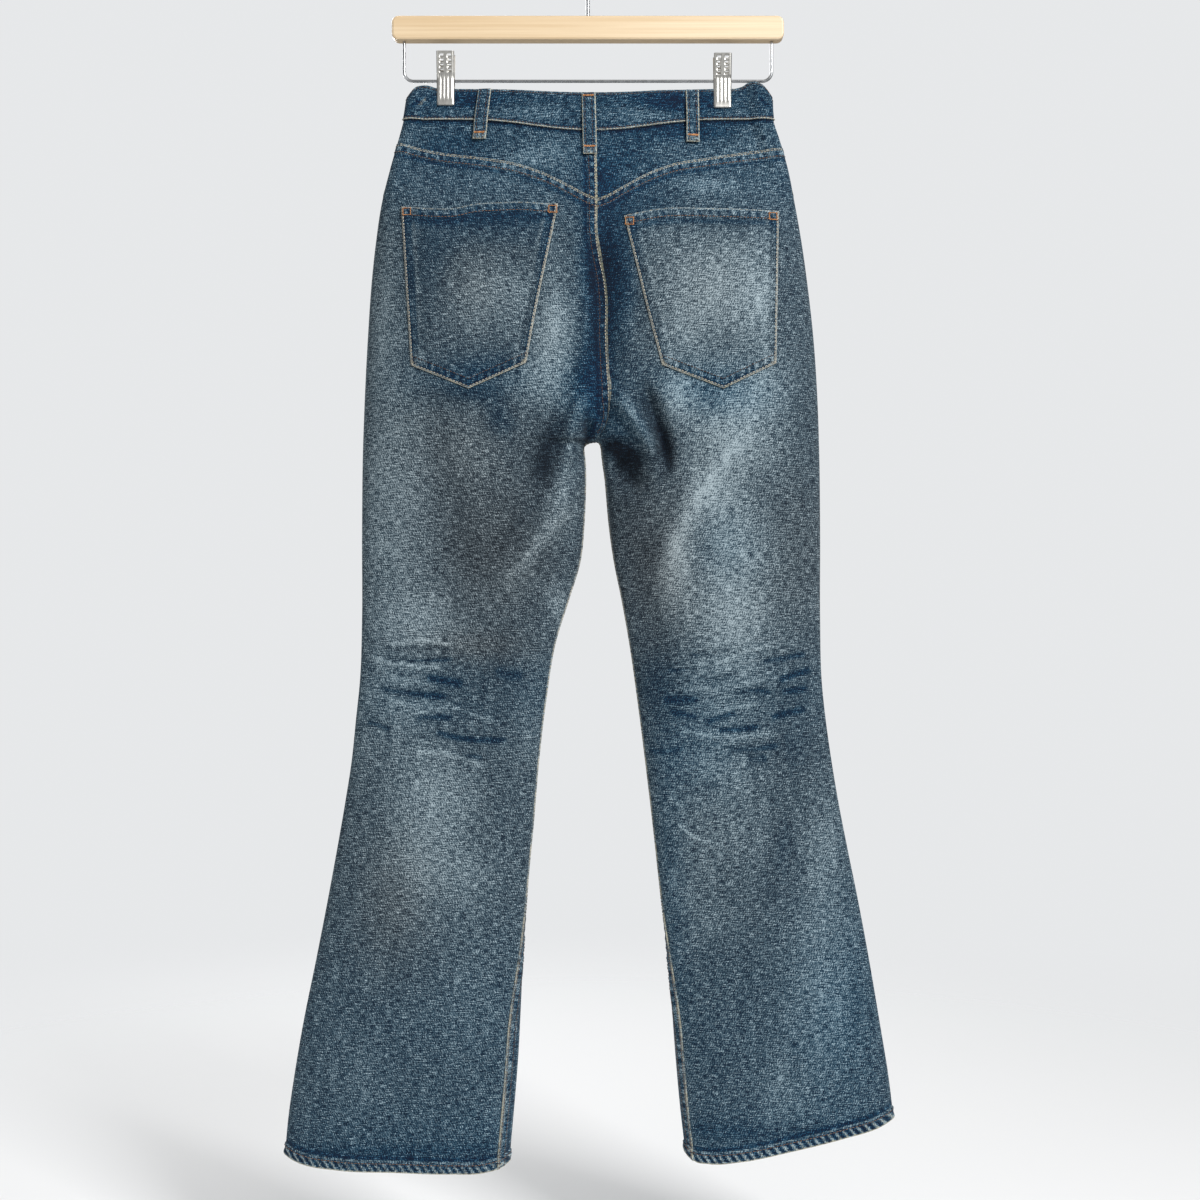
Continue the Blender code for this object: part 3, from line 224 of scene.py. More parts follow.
Fold = namedtuple("Fold", "x0 z0 x1 z1 x2 z2 reach height")
BACK_FOLDS = [  # soft ridges (+) and troughs (-), each along a curve through three points
    Fold(10, -285, 18, -375, 20, -468, 15, -8),  # centre seam
    Fold(16, -446, 50, -484, 66, -524, 8, 8),  # seat sags over
    Fold(46, -432, 70, -486, 76, -534, 8, -10),  # its valley
    Fold(20, -517, 40, -529, 50, -560, 13, -11),  # under the sag
    Fold(172, -450, 108, -556, 80, -676, 24, 7),
    Fold(42, -580, 52, -640, 66, -720, 20, -4),
    Fold(-6, -526, -44, -592, -90, -668, 11, 6),
    Fold(-8, -560, -34, -612, -58, -655, 12, -4),
    Fold(6, -448, -15, -486, -14, -524, 9, 7),
    Fold(3, -476, 0, -486, -3, -498, 5, -7),
    Fold(-142, -470, -138, -560, -122, -650, 22, -4),
    Fold(-46, -290, -34, -360, -28, -430, 20, 4),
    Fold(44, -300, 50, -360, 44, -420, 14, -3),
    Fold(-190, -740, -130, -752, -60, -748, 14, -2.5),
    Fold(80, -745, 150, -756, 215, -735, 14, -2.5),
    Fold(120, -820, 175, -960, 190, -1120, 30, 3),
    Fold(-150, -830, -180, -960, -200, -1120, 30, 3),
]
FRONT_FOLDS = [
    Fold(-8, -478, -60, -452, -130, -440, 9, 4),
    Fold(22, -474, 75, -446, 140, -432, 9, 4),
    Fold(-12, -508, -70, -498, -140, -505, 10, -4),
    Fold(26, -506, 80, -492, 150, -500, 10, -4),
    Fold(-10, -540, -60, -600, -95, -690, 13, 5),
    Fold(34, -540, 70, -600, 100, -690, 13, 5),
    Fold(-195, -760, -130, -770, -65, -758, 14, -3),
    Fold(75, -752, 150, -768, 220, -756, 14, -3),
    Fold(-150, -820, -175, -960, -190, -1120, 28, 3),
    Fold(130, -820, 170, -960, 195, -1120, 28, 3),
]

FOLDS = {"back": BACK_FOLDS, "front": FRONT_FOLDS}
FOLD_ENDS = 0.3  # share of a fold's length in which it fades out at each end
FULL_RELIEF = 12.0  # depth of the tube from which folds stand at their full height

# Small creases and the lines worn pale or left dark along them
Crease = namedtuple("Crease", "x0 z0 x1 z1 x2 z2 reach height fade")
BACK_CREASES = [
    # left knee, ridges rubbed pale
    Crease(-199, -697, -160, -691, -121, -698, 2.2, 0.6, 0.34),
    Crease(-216, -706, -180, -714, -132, -716, 2.6, 0.6, 0.30),
    Crease(-172, -763, -148, -757, -120, -757, 2.2, 0.5, 0.30),
    Crease(-172, -800, -134, -801, -96, -816, 2.4, 0.5, 0.30),
    Crease(-196, -727, -170, -730, -146, -734, 2.0, 0.4, 0.22),
    Crease(-196, -751, -172, -753, -148, -752, 2.0, 0.4, 0.22),
    Crease(-112, -764, -98, -767, -84, -772, 2.0, 0.4, 0.22),
    # left knee, troughs left dark
    Crease(-204, -700, -160, -698, -124, -700, 2.2, -0.4, -0.16),
    Crease(-202, -708, -160, -710, -126, -708, 2.4, -0.5, -0.24),
    Crease(-206, -736, -170, -742, -132, -745, 3.4, -0.7, -0.36),
    Crease(-158, -726, -140, -729, -118, -733, 3.6, -0.6, -0.36),
    Crease(-168, -766, -150, -765, -128, -766, 2.8, -0.5, -0.26),
    Crease(-216, -770, -202, -773, -189, -778, 3.0, -0.4, -0.30),
    Crease(-151, -777, -118, -786, -72, -787, 3.0, -0.6, -0.30),
    Crease(-126, -803, -112, -803, -100, -805, 2.6, -0.3, -0.22),
    Crease(-90, -716, -76, -724, -60, -722, 6.0, -0.4, -0.18),
    # right knee, ridges
    Crease(117, -765, 144, -756, 171, -751, 2.2, 0.6, 0.30),
    Crease(90, -777, 138, -784, 190, -779, 2.6, 0.6, 0.32),
    Crease(86, -866, 102, -880, 124, -888, 1.6, 0.4, 0.42),
    Crease(61, -836, 65, -840, 69, -842, 1.5, 0.2, 0.35),
    Crease(78, -843, 86, -848, 94, -853, 1.5, 0.2, 0.26),
    # right knee, troughs
    Crease(165, -712, 188, -708, 216, -703, 3.0, -0.6, -0.28),
    Crease(184, -730, 200, -724, 219, -718, 3.2, -0.6, -0.34),
    Crease(111, -731, 128, -726, 148, -721, 3.0, -0.6, -0.28),
    Crease(72, -748, 92, -748, 112, -747, 3.4, -0.6, -0.30),
    Crease(188, -740, 200, -739, 216, -737, 3.0, -0.4, -0.28),
    Crease(114, -772, 130, -764, 148, -761, 3.4, -0.6, -0.34),
    Crease(122, -778, 146, -777, 170, -773, 3.0, -0.6, -0.34),
    Crease(74, -720, 104, -717, 132, -709, 1.6, -0.3, -0.20),
    Crease(154, -807, 164, -806, 176, -804, 5.0, -0.3, -0.22),
    Crease(112, -830, 122, -831, 130, -831, 5.0, -0.3, -0.20),
    Crease(58, -797, 78, -799, 100, -792, 3.0, -0.4, -0.18),
    Crease(96, -706, 122, -702, 150, -698, 3.0, -0.4, -0.24),
    Crease(140, -743, 162, -739, 180, -742, 3.2, -0.5, -0.28),
    Crease(80, -760, 94, -762, 110, -766, 3.0, -0.4, -0.24),
    Crease(176, -766, 194, -761, 214, -757, 3.0, -0.4, -0.24),
    Crease(136, -794, 158, -796, 190, -791, 3.2, -0.4, -0.22),
    # right knee, ridges between them
    Crease(150, -733, 168, -729, 188, -727, 2.0, 0.4, 0.22),
    Crease(84, -739, 108, -737, 134, -738, 2.0, 0.4, 0.20),
    Crease(148, -700, 178, -696, 206, -693, 2.0, 0.4, 0.18),
    Crease(92, -718, 118, -713, 150, -707, 1.8, 0.4, 0.18),
    # fine creases that fan out from the fork
    Crease(84, -566, 130, -600, 196, -622, 2.2, 0.4, 0.08),
    Crease(96, -590, 140, -620, 190, -636, 2.0, -0.4, -0.06),
    Crease(-20, -600, -60, -640, -110, -660, 2.4, 0.4, 0.06),
]
FRONT_CREASES = [
    Crease(-208, -708, -158, -700, -104, -709, 2.2, 0.6, 0.20),
    Crease(-198, -733, -140, -722, -92, -726, 1.9, 0.5, 0.16),
    Crease(-214, -757, -166, -752, -118, -760, 2.3, 0.6, 0.18),
    Crease(-176, -781, -134, -779, -90, -788, 1.8, 0.4, 0.14),
    Crease(-200, -720, -152, -712, -110, -718, 2.6, -0.6, -0.24),
    Crease(-190, -745, -144, -738, -96, -741, 2.8, -0.6, -0.20),
    Crease(-172, -770, -134, -768, -100, -774, 2.4, -0.4, -0.18),
    Crease(94, -704, 146, -698, 205, -708, 2.2, 0.6, 0.18),
    Crease(82, -729, 138, -727, 190, -719, 2.0, 0.5, 0.18),
    Crease(104, -751, 160, -746, 217, -755, 2.2, 0.6, 0.16),
    Crease(88, -779, 132, -777, 176, -784, 1.8, 0.4, 0.14),
    Crease(100, -716, 148, -711, 196, -716, 2.8, -0.6, -0.22),
    Crease(96, -741, 146, -737, 200, -740, 2.6, -0.6, -0.22),
    Crease(108, -766, 150, -764, 190, -770, 2.4, -0.4, -0.16),
    Crease(-20, -470, -80, -436, -170, -424, 3.0, 0.6, 0.16),
    Crease(34, -468, 90, -432, 178, -420, 3.0, 0.6, 0.16),
    Crease(-18, -452, -76, -412, -160, -396, 3.0, 0.5, 0.12),
    Crease(32, -450, 86, -408, 168, -392, 3.0, 0.5, 0.12),
]

WAISTBAND_CREASES = [  # aslant, outside the clips
    Crease(-161.7, -159.8, -167.55, -165.15, -173.4, -170.5, 1.5, -0.9, -0.25),
    Crease(167, -158, 171.5, -164.5, 176, -171, 1.5, -0.9, -0.25),
]
WAISTBAND_RUB = Crease(-157, -156, -162, -164, -168, -169, 1.6, 0.0, 0.0)
CREASES = {"back": BACK_CREASES, "front": FRONT_CREASES}
CREASE_ENDS = 0.16
CREASE_CLEAR = 9.0  # from a fold at the edge of the section, within which creases end

# Where the dye is washed or rubbed out, and a painted shadow under the waistband: soft patches, more
# (+) or less (-) than the base.
# turn is in degrees, and leans a patch's top to the right.
Fade = namedtuple("Fade", "x z width height turn amount")
BASE_FADE = 0.33
BACK_FADES = [
    Fade(-130, -206, 44, 20, 0, -0.14),  # yokes
    Fade(-60, -222, 26, 12, -20, 0.23),
    Fade(-178, -206, 14, 10, 0, 0.14),
    Fade(-26, -214, 14, 20, 0, 0.10),
    Fade(46, -212, 34, 30, 0, -0.12),
    # painted shadow under the waistband's edge
    Fade(104, -192, 40, 10, 0, -0.25),
    Fade(118, -222, 50, 10, 10, 0.08),
    Fade(165, -216, 24, 14, 0, 0.12),
    Fade(126, -249, 28, 8, 0, 0.28),
    Fade(-198, -380, 15, 70, 0, 0.24),  # left seat and thigh
    Fade(-32, -404, 20, 48, 4, 0.42),
    Fade(-52, -446, 26, 22, 0, 0.16),
    Fade(-190, -560, 40, 120, 0, 0.30),
    Fade(-110, -508, 26, 26, 0, 0.12),
    Fade(-84, -480, 18, 22, 0, -0.16),
    Fade(12, -244, 18, 26, 0, -0.20),
    Fade(148, -236, 30, 20, 0, -0.06),
    Fade(-160, -668, 46, 26, 0, 0.27),
    Fade(-86, -640, 36, 46, 10, 0.06),
    Fade(-188, -742, 30, 38, 0, 0.18),
    Fade(-28, -556, 13, 34, 0, 0.18),
    Fade(-30, -654, 9, 22, -14, 0.30),
    Fade(-146, -834, 42, 34, 0, 0.30),  # left knee and shin
    Fade(-158, -898, 40, 52, 0, 0.26),
    Fade(-112, -920, 34, 52, 0, 0.14),
    Fade(-172, -790, 30, 30, 0, 0.08),
    Fade(-60, -780, 14, 40, 0, 0.12),
    Fade(-220, -1110, 34, 40, 0, 0.08),
    Fade(19, -334, 24, 64, 0, -0.30),  # beside the centre seam
    Fade(4, -440, 20, 46, 0, -0.22),
    Fade(-112, -452, 34, 9, 0, -0.14),
    Fade(60, -270, 30, 20, 0, -0.10),
    Fade(86, -454, 18, 26, 0, 0.42),  # right thigh
    Fade(140, -494, 44, 34, 24, 0.42),
    Fade(118, -548, 30, 32, 34, 0.42),
    Fade(146, -590, 30, 36, 0, 0.26),
    Fade(168, -446, 32, 36, 20, 0.32),
    Fade(140, -662, 38, 54, 0, 0.44),
    Fade(84, -618, 17, 44, 0, 0.42),
    Fade(200, -620, 30, 90, 0, 0.06),
    Fade(134, -738, 34, 46, 0, 0.18),
    Fade(70, -730, 20, 40, 0, -0.10),
    Fade(140, -866, 54, 50, 0, 0.16),  # right knee and shin
    Fade(230, -890, 18, 60, 0, 0.18),
    Fade(190, -888, 16, 50, 0, -0.14),
    Fade(130, -812, 44, 22, 0, 0.16),
    Fade(106, -946, 40, 50, 0, 0.13),
    Fade(-114, -1034, 32, 60, 0, 0.10),
    Fade(-220, -796, 18, 40, 0, 0.10),
    Fade(226, -1020, 34, 110, 0, 0.22),
    Fade(184, -1130, 24, 40, 0, 0.16),
    Fade(200, -800, 24, 40, 0, -0.08),
    Fade(-180, -1184, 160, 7, 0, -0.12),  # above the hems
    Fade(200, -1166, 160, 9, 0, -0.12),
]
BACK_HOLLOW_SHADE = [  # painted shade: the colour darkened in the hollows where the cloth folds away
    Fade(-140, -540, 17, 90, -3, 0.26),
    Fade(-112, -612, 18, 56, 0, 0.36),
    Fade(-84, -690, 24, 80, 0, 0.26),
    Fade(-74, -590, 20, 50, 0, 0.22),
    Fade(-50, -520, 16, 34, 0, 0.26),
    Fade(-118, -454, 34, 8, 0, 0.25),
    Fade(22, -330, 17, 56, 0, 0.34),
    Fade(21, -436, 15, 40, 0, 0.28),
    Fade(47, -489, 13, 14, 0, 0.24),
    Fade(-42, -508, 13, 28, 0, 0.18),
    Fade(-172, -570, 26, 36, 0, 0.13),
    Fade(-130, -662, 14, 16, 0, 0.18),
    Fade(-140, -460, 26, 8, 0, 0.10),
    Fade(-99, -846, 9, 50, 0, 0.15),
    Fade(40, -545, 22, 40, 0, 0.48),
    Fade(54, -620, 18, 60, 0, 0.36),
    Fade(66, -725, 20, 50, 0, 0.32),
    Fade(206, -450, 16, 70, 0, 0.18),
    Fade(204, -600, 24, 90, 0, 0.16),
]
# Strokes of painted shade down the folds at the fork, and painted highlights as pale lines on their
# crests
# fade adds painted highlight (+) or painted shade (-); the last field darkens as painted shade.
Stroke = namedtuple("Stroke", "x0 z0 x1 z1 x2 z2 reach fade dull")
BACK_STROKES = [
    Stroke(44, -440, 67, -484, 78, -538, 11.0, -0.12, 0.66),  # the valley beside the sagging seat
    Stroke(64, -474, 79, -508, 76, -544, 6.0, -0.12, 0.66),
    Stroke(12, -500, 34, -506, 58, -528, 8.0, -0.16, 0.95),  # under the sag
    Stroke(18, -512, 36, -520, 50, -548, 12.0, -0.05, 0.45),
    Stroke(22, -452, 48, -482, 66, -518, 6.0, 0.20, -0.20),  # its crest
    Stroke(-4, -478, -1, -496, -4, -514, 3.2, -0.20, 0.95),  # the fold left of the fork
    Stroke(6, -446, -13, -482, -18, -520, 5.0, 0.16, -0.10),
    Stroke(-20, -462, -36, -506, -44, -556, 12.0, -0.12, 0.60),
    Stroke(-14, -500, -22, -530, -30, -560, 5.0, 0.12, -0.10),
    Stroke(-6, -552, -50, -600, -92, -656, 6.5, 0.22, -0.14),
    Stroke(-24, -530, -64, -574, -104, -630, 9.0, -0.06, 0.20),
    Stroke(-16, -590, -40, -636, -60, -684, 8.0, -0.04, 0.20),
    Stroke(166, -484, 110, -548, 74, -640, 6.0, 0.22, -0.10),  # the long ridge on the right
    Stroke(100, -524, 76, -574, 62, -640, 7.0, -0.06, 0.26),
    Stroke(18, -546, 26, -610, 42, -690, 5.0, -0.04, 0.40),  # along the inner folds
    Stroke(-4, -560, -12, -640, -38, -720, 4.0, -0.02, 0.24),
    Stroke(11, -280, 18, -360, 19, -446, 5.0, -0.10, 0.34),  # beside the centre seam
    Stroke(-3, -300, 6, -370, 4, -440, 5.0, -0.08, 0.30),
    Stroke(-36, -300, -32, -360, -36, -420, 6.0, 0.10, 0.0),
]
FRONT_FADES = [
    Fade(-115, -560, 60, 130, 0, 0.42),
    Fade(125, -560, 60, 130, 0, 0.42),
    Fade(-140, -760, 55, 60, 0, 0.36),
    Fade(150, -760, 55, 60, 0, 0.36),
    Fade(-150, -930, 50, 120, 0, 0.20),
    Fade(165, -930, 50, 120, 0, 0.20),
]
# Painted shade: the colour darkened in the hollows about the front's fork.
FRONT_HOLLOW_SHADE = [
    Fade(-10, -560, 16, 60, 0, 0.30),
    Fade(30, -560, 16, 60, 0, 0.30),
    Fade(8, -440, 22, 50, 0, 0.24),
]
POCKET_FADES = [
    Fade(-96, -350, 38, 44, 0, 0.22),
    Fade(-150, -352, 24, 60, 0, -0.08),
    Fade(-92, -306, 72, 44, 0, -0.16),
    Fade(-84, -420, 40, 24, 0, -0.10),
    Fade(-62, -360, 18, 44, 0, 0.09),
    Fade(122, -352, 56, 54, 0, 0.35),
    Fade(168, -366, 22, 50, 0, 0.22),
    Fade(136, -428, 44, 14, 0, 0.12),
    Fade(92, -402, 20, 24, 0, 0.18),
    Fade(-104, -286, 80, 7, 0, -0.10),
    Fade(112, -289, 80, 7, 0, -0.11),
    Fade(-114, -440, 44, 14, 0, -0.08),
]
WAISTBAND_FADES = [
    Fade(-60, -176, 44, 8, 0, 0.20),
    Fade(90, -164, 34, 10, 0, -0.40),
    Fade(-114, -162, 30, 9, 0, -0.30),
    Fade(52, -178, 40, 7, 0, 0.24),
    Fade(-126, -176, 22, 9, 0, 0.10),
    Fade(146, -176, 24, 9, 0, 0.10),
]

# Most painted shade on any point of a back or a yoke.
MOST_PAINTED_SHADE = 0.97
DEEP_DYE = 0.30  # fade below which the cloth looks bluer
DEEP_BLUE = 2.4
BLUE = [  # where the dye has kept a stronger blue (+), or gone grey (-)
    Fade(0, -165, 400, 50, 0, 0.45),
    Fade(0, -240, 400, 46, 0, 0.32),
    Fade(16, -340, 26, 90, 0, 0.45),
    Fade(2, -455, 30, 40, 0, 0.50),
    Fade(40, -490, 26, 22, 30, 0.40),
    Fade(-110, -440, 60, 22, 0, 0.35),
    Fade(110, -440, 60, 22, 0, 0.30),
    Fade(-110, -350, 30, 40, 0, -0.20),
    Fade(112, -350, 50, 50, 0, -0.14),
    Fade(-90, -600, 70, 80, 0, -0.34),
    Fade(70, -610, 50, 80, 0, -0.34),
    Fade(200, -600, 60, 80, 0, -0.20),
    Fade(-130, -500, 60, 50, 0, -0.20),
    Fade(0, -740, 400, 40, 0, 0.18),
    Fade(0, -1080, 500, 110, 0, 0.24),
    Fade(0, -1180, 500, 40, 0, 0.30),
    Fade(250, -1050, 46, 140, 0, 0.24),  # right leg
    Fade(76, -950, 20, 150, 0, 0.30),
    Fade(104, -800, 50, 44, 0, 0.26),
    Fade(134, -600, 44, 40, 0, 0.24),
    Fade(130, -459, 46, 20, 0, 0.28),
    Fade(-188, -950, 36, 70, 0, -0.26),  # left leg
    Fade(-110, -696, 56, 16, 0, -0.30),
]

# Front: scoop pockets and fly
SCOOP_WIDTH = 88.0
SCOOP_DEPTH = 66.0
FLY_LENGTH = 118.0
LAP = 4.0
LAP_LIFT = 1.5

Pocket = namedtuple("Pocket", "outer_top inner_top inner_low point outer_low")
POCKETS = {
    "left": Pocket(outer_top=(-179.5, -270.8), inner_top=(-28.2, -269.6),
                   inner_low=(-58.5, -424.0), point=(-113.7, -448.6),
                   outer_low=(-168.7, -426.0)),
    "right": Pocket(outer_top=(184.5, -275.5), inner_top=(35.6, -281.5),
                    inner_low=(71.6, -426.0), point=(130.9, -448.6),
                    outer_low=(180.9, -424.0)),
}
PocketTop = namedtuple("PocketTop", "across left right")
POCKET_TOP = [  # how far the top edge waves off the straight line, from its outer corner
    PocketTop(0.0, 0.0, 0.0),
    PocketTop(0.16, -3.0, 1.2),
    PocketTop(0.34, -3.9, 2.8),
    PocketTop(0.47, 0.2, 4.0),
    PocketTop(0.62, 1.5, 5.6),
    PocketTop(0.78, 1.9, 5.2),
    PocketTop(0.90, 0.4, 2.6),
    PocketTop(1.0, 0.0, 0.0),
]
POCKET_HEM = 9.0

Loop = namedtuple("Loop", "name face x_top x_low z_top z_low")
LOOPS = [
    Loop("loop_back_centre", "back", x_top=1.2, x_low=2.6, z_top=-157.0, z_low=-218.0),
    Loop("loop_back_left", "back", x_top=-100.2, x_low=-105.5, z_top=-151.6, z_low=-201.0),
    Loop("loop_back_right", "back", x_top=102.2, x_low=103.0, z_top=-152.4, z_low=-204.0),
    Loop("loop_front_left", "front", x_top=-78.0, x_low=-78.0, z_top=-160.0, z_low=-212.0),
    Loop("loop_front_right", "front", x_top=84.0, x_low=84.0, z_top=-160.0, z_low=-212.0),
]
LOOP_WIDTH = 13.2
LOOP_WALL = 1.8
LOOP_BOW = 1.6
LOOP_TAB = 7.0
LOOP_ROW = 3.1

# Waistband ends at the front
UNDERLAP = -8.0
TAB = 12.0
TAB_LIFT = 2.8
TAB_RAMP = (-24.0, -6.0)
LAP_REACH = 40.0
BUTTON_X = 6.0
BUTTON_FROM_SIDE = 180.0

# Hanger
BAR_TOP_Z = -80.6
BAR_HEIGHT = 23.6
BAR_X = 0.4
HOOK_RADIUS = 1.8
HOOK_EYE = 22.0
HOOK_BEND = 13.0
HOOK_SOCKET = 14.0
WIRE_RADIUS = 1.5
WIRE_REACH = 180.0
WIRE_Z = -143.0
WIRE_BEND = 9.0
WIRE_SOCKET = 8.0

Clip = namedtuple("Clip", "name x top_z low_z")
CLIPS = [
    Clip("clip_left", x=-138.8, top_z=-115.5, low_z=-167.3),
    Clip("clip_right", x=132.2, top_z=-117.5, low_z=-169.6),
]
CLIP_WALL = 1.1
CLIP_FLARE = 7.5
SPRING_TURNS = 6
SPRING_LENGTH = 10.8
SPRING_RADIUS = 2.05
SPRING_WIRE = 0.5
BUTTON_PROFILE = [  # radius and rise, from the foot to the middle
    (2.4, 0.0), (2.4, 1.3), (7.2, 1.3), (8.2, 1.6), (8.6, 2.3), (8.3, 3.0), (7.6, 3.4), (6.8, 3.2),
    (6.3, 2.9), (5.9, 3.0), (4.9, 3.5), (4.4, 3.5), (4.0, 3.3), (2.4, 3.6), (0.02, 3.8),
]

# Thread
TACK = 2.4  # length of a stitch in a tack
STITCH = 2.7
STITCH_PITCH = 3.3
STITCH_RADIUS = 0.36
EDGE_ROW = 1.7  # from the edge of a piece to its first row of stitches
SECOND_ROW = 7.6
POCKET_SECOND_ROW = 8.6
HEM_ROW = 8.4
CLOTH_SHIFT = 0.37  # each piece is cut from its own part of the cloth

# Camera, where the photograph was taken from
CAMERA = (12.25, -1700.0, -651.3)
LENS = 52.04

# Room
WINDOW_WAY = (0.45, -0.70, 0.55)
WINDOW_GLOW = 0.35
ROOM_LEVEL = 0.22
WALL_LEVEL = 0.82
FLOOR_Z = -1.32
ROOM_COLOUR = (0.97, 0.985, 1.0, 1.0)
LIT_MIDDLE = (0.0, 0.0, -0.62)
Lamp = namedtuple("Lamp", "name place size power")
LAMPS = [  # metres and watts
    Lamp("window", (1.45, -1.9, 1.0), 0.8, 74.0),
    Lamp("fill", (-1.6, -1.4, -0.5), 1.2, 7.0),
    Lamp("front_fill", (-0.9, 2.2, 0.5), 1.3, 44.0),
]


def along(rows, column, z, key="z"):
    """A smooth curve through one column of a table, read at height z, or at another key."""
    knots = np.array([getattr(row, key) for row in rows], float)
    values = np.array([getattr(row, column) for row in rows], float)
    order = np.argsort(knots)
    knots, values = knots[order], values[order]
    slopes = np.gradient(values, knots)
    z = np.clip(z, knots[0], knots[-1])
    i = np.clip(np.searchsorted(knots, z, side="right") - 1, 0, len(knots) - 2)
    span = knots[i + 1] - knots[i]
    t = (z - knots[i]) / span
    return (
        (2 * t**3 - 3 * t**2 + 1) * values[i]
        + (t**3 - 2 * t**2 + t) * span * slopes[i]
        + (3 * t**2 - 2 * t**3) * values[i + 1]
        + (t**3 - t**2) * span * slopes[i + 1]
    )


def bell(value, middle, width):
    """1 at the middle, falling off on both sides over the width."""
    return np.exp(-(((value - middle) / width) ** 2))


def smoothstep(low, high, value):
    t = np.clip((value - low) / (high - low), 0.0, 1.0)
    return t * t * (3 - 2 * t)


def share_of(phi):
    """Share of the half garment's width, from the side fold, at phi."""
    return (1 - np.cos(math.pi * np.where(phi <= 1, phi, 2 - phi))) / 2


def phi_of(share):
    """phi on the back face at a share of the width."""
    return np.arccos(1 - 2 * np.clip(share, 0.0, 1.0)) / math.pi


def quarter_round(t):
    t = np.clip(t, 0.0, 1.0)
    return np.sqrt(np.maximum(0.0, 1 - (1 - t) ** 2))


def dip(x):
    """1 at the centre, falling to 0 at the clips."""
    t = np.clip(np.abs(x - 4.0) / WAIST_DIP_REACH, 0.0, 1.0)
    return np.cos(math.pi / 2 * t) ** 2


def outer_edge(side, z):
    return along(SIDES, side, z) - SIGN[side] * DENIM


def inner_edge(side, face, z):
    """x of the centre seam above the fork and of the leg's inner fold below it."""
    seam = along(CENTRE_SEAMS, face, np.maximum(z, FORK_Z))
    leg = along(INSEAMS, side, z) + SIGN[side] * DENIM
    drop = np.clip((FORK_Z - z) / ARCH, 0.0, 1.0)
    open_share = np.sqrt(np.maximum(0.0, 2 * drop - drop**2))
    return np.where(z >= FORK_Z, seam, FORK_X + (leg - FORK_X) * open_share)


def fork_closing(face, z):
    """0 where the centre seam hangs straight, 1 at the fork and below it."""
    reach = BACK_RISE_CURVE if face == "back" else FRONT_RISE_CURVE
    q = np.clip(1 - (z - FORK_Z) / reach, 0.0, 1.0)
    return 1 - np.sqrt(np.maximum(0.0, 1 - q * q))


def line_strength(line, x, z, ends=FOLD_ENDS):
    """1 on a curve through three points, fading with its reach and towards its ends."""
    steps = np.linspace(0.0, 1.0, 13)
    cx = 2 * line.x1 - (line.x0 + line.x2) / 2
    cz = 2 * line.z1 - (line.z0 + line.z2) / 2
    px = (1 - steps) ** 2 * line.x0 + 2 * steps * (1 - steps) * cx + steps**2 * line.x2
    pz = (1 - steps) ** 2 * line.z0 + 2 * steps * (1 - steps) * cz + steps**2 * line.z2
    strength = np.zeros(x.shape)
    away = 3.2 * line.reach
    near = (x > px.min() - away) & (x < px.max() + away)
    near &= (z > pz.min() - away) & (z < pz.max() + away)
    if not near.any():
        return strength
    x, z = x[near], z[near]
    nearest = np.full(x.shape, 1e9)
    where = np.zeros(x.shape)
    for i in range(len(steps) - 1):
        dx, dz = px[i + 1] - px[i], pz[i + 1] - pz[i]
        t = np.clip(((x - px[i]) * dx + (z - pz[i]) * dz) / (dx * dx + dz * dz), 0.0, 1.0)
        far = np.hypot(x - px[i] - t * dx, z - pz[i] - t * dz)
        closer = far < nearest
        nearest = np.where(closer, far, nearest)
        where = np.where(closer, steps[i] + t * steps[1], where)
    taper = smoothstep(0.0, ends, where) * smoothstep(1.0, 1.0 - ends, where)
    strength[near] = taper * bell(nearest, 0.0, line.reach)
    return strength


def fold_relief(wall, x, z):
    x, z = np.broadcast_arrays(x, z)
    return sum(fold.height * line_strength(fold, x, z) for fold in FOLDS[wall])


def waist_half(side, from_fold):
    """Half opening of the pressed waist at a distance from the side fold."""
    near, far = CLIP_SPAN[side]
    knots = [0.0, near - 9.0, near, far, 110.0, 185.0]
    halves = [WAIST_LOBE, WAIST_LOBE, WAIST_PRESSED, WAIST_PRESSED, 4.6, WAIST_CENTRE]
    lobe = np.interp(from_fold, knots, halves)
    return np.maximum(WAIST_PRESSED, lobe) * quarter_round(from_fold / WAIST_ROUND)


def wall_point(side, wall, phi, z):
    """(x, y) on the inner face of one wall, back or front."""
    share = share_of(phi)
    outer = outer_edge(side, z)
    x = outer + (inner_edge(side, wall, z) - outer) * share
    at_seam = smoothstep(0.80, 0.98, share)
    settling = smoothstep(FORK_Z + 54.0, FORK_Z - 30.0, z)
    closing = settling + (fork_closing(wall, z) - settling) * at_seam
    inward = 1 - closing * (1 - quarter_round((1 - share) / ROUND_SHARE))
    full = along(DEPTHS, wall, z) * quarter_round(share / ROUND_SHARE) * inward
    pressed = waist_half(side, np.abs(x - outer))
    half = pressed + (full - pressed) * smoothstep(*WAIST_FADE, z)
    half = half + fold_relief(wall, x, z) * np.clip(half / FULL_RELIEF, 0.0, 1.0)
    return x, OUTWARD[wall] * half


def section(side, face, phi, z):
    """(x, y) on the cloth's inner face. phi runs once round the half garment: 0 at the side
    fold, over the back to 1 at the centre seam or inner fold, over the front to 2."""
    phi = np.mod(phi, 2.0)
    phi, z = np.broadcast_arrays(phi, z)
    on_back = phi < 1.0 if face == "front" else phi <= 1.0
    x, y = np.zeros(phi.shape), np.zeros(phi.shape)
    for wall, there in (("back", on_back), ("front", ~on_back)):
        if there.any():
            x[there], y[there] = wall_point(side, wall, phi[there], z[there])
    return x, y


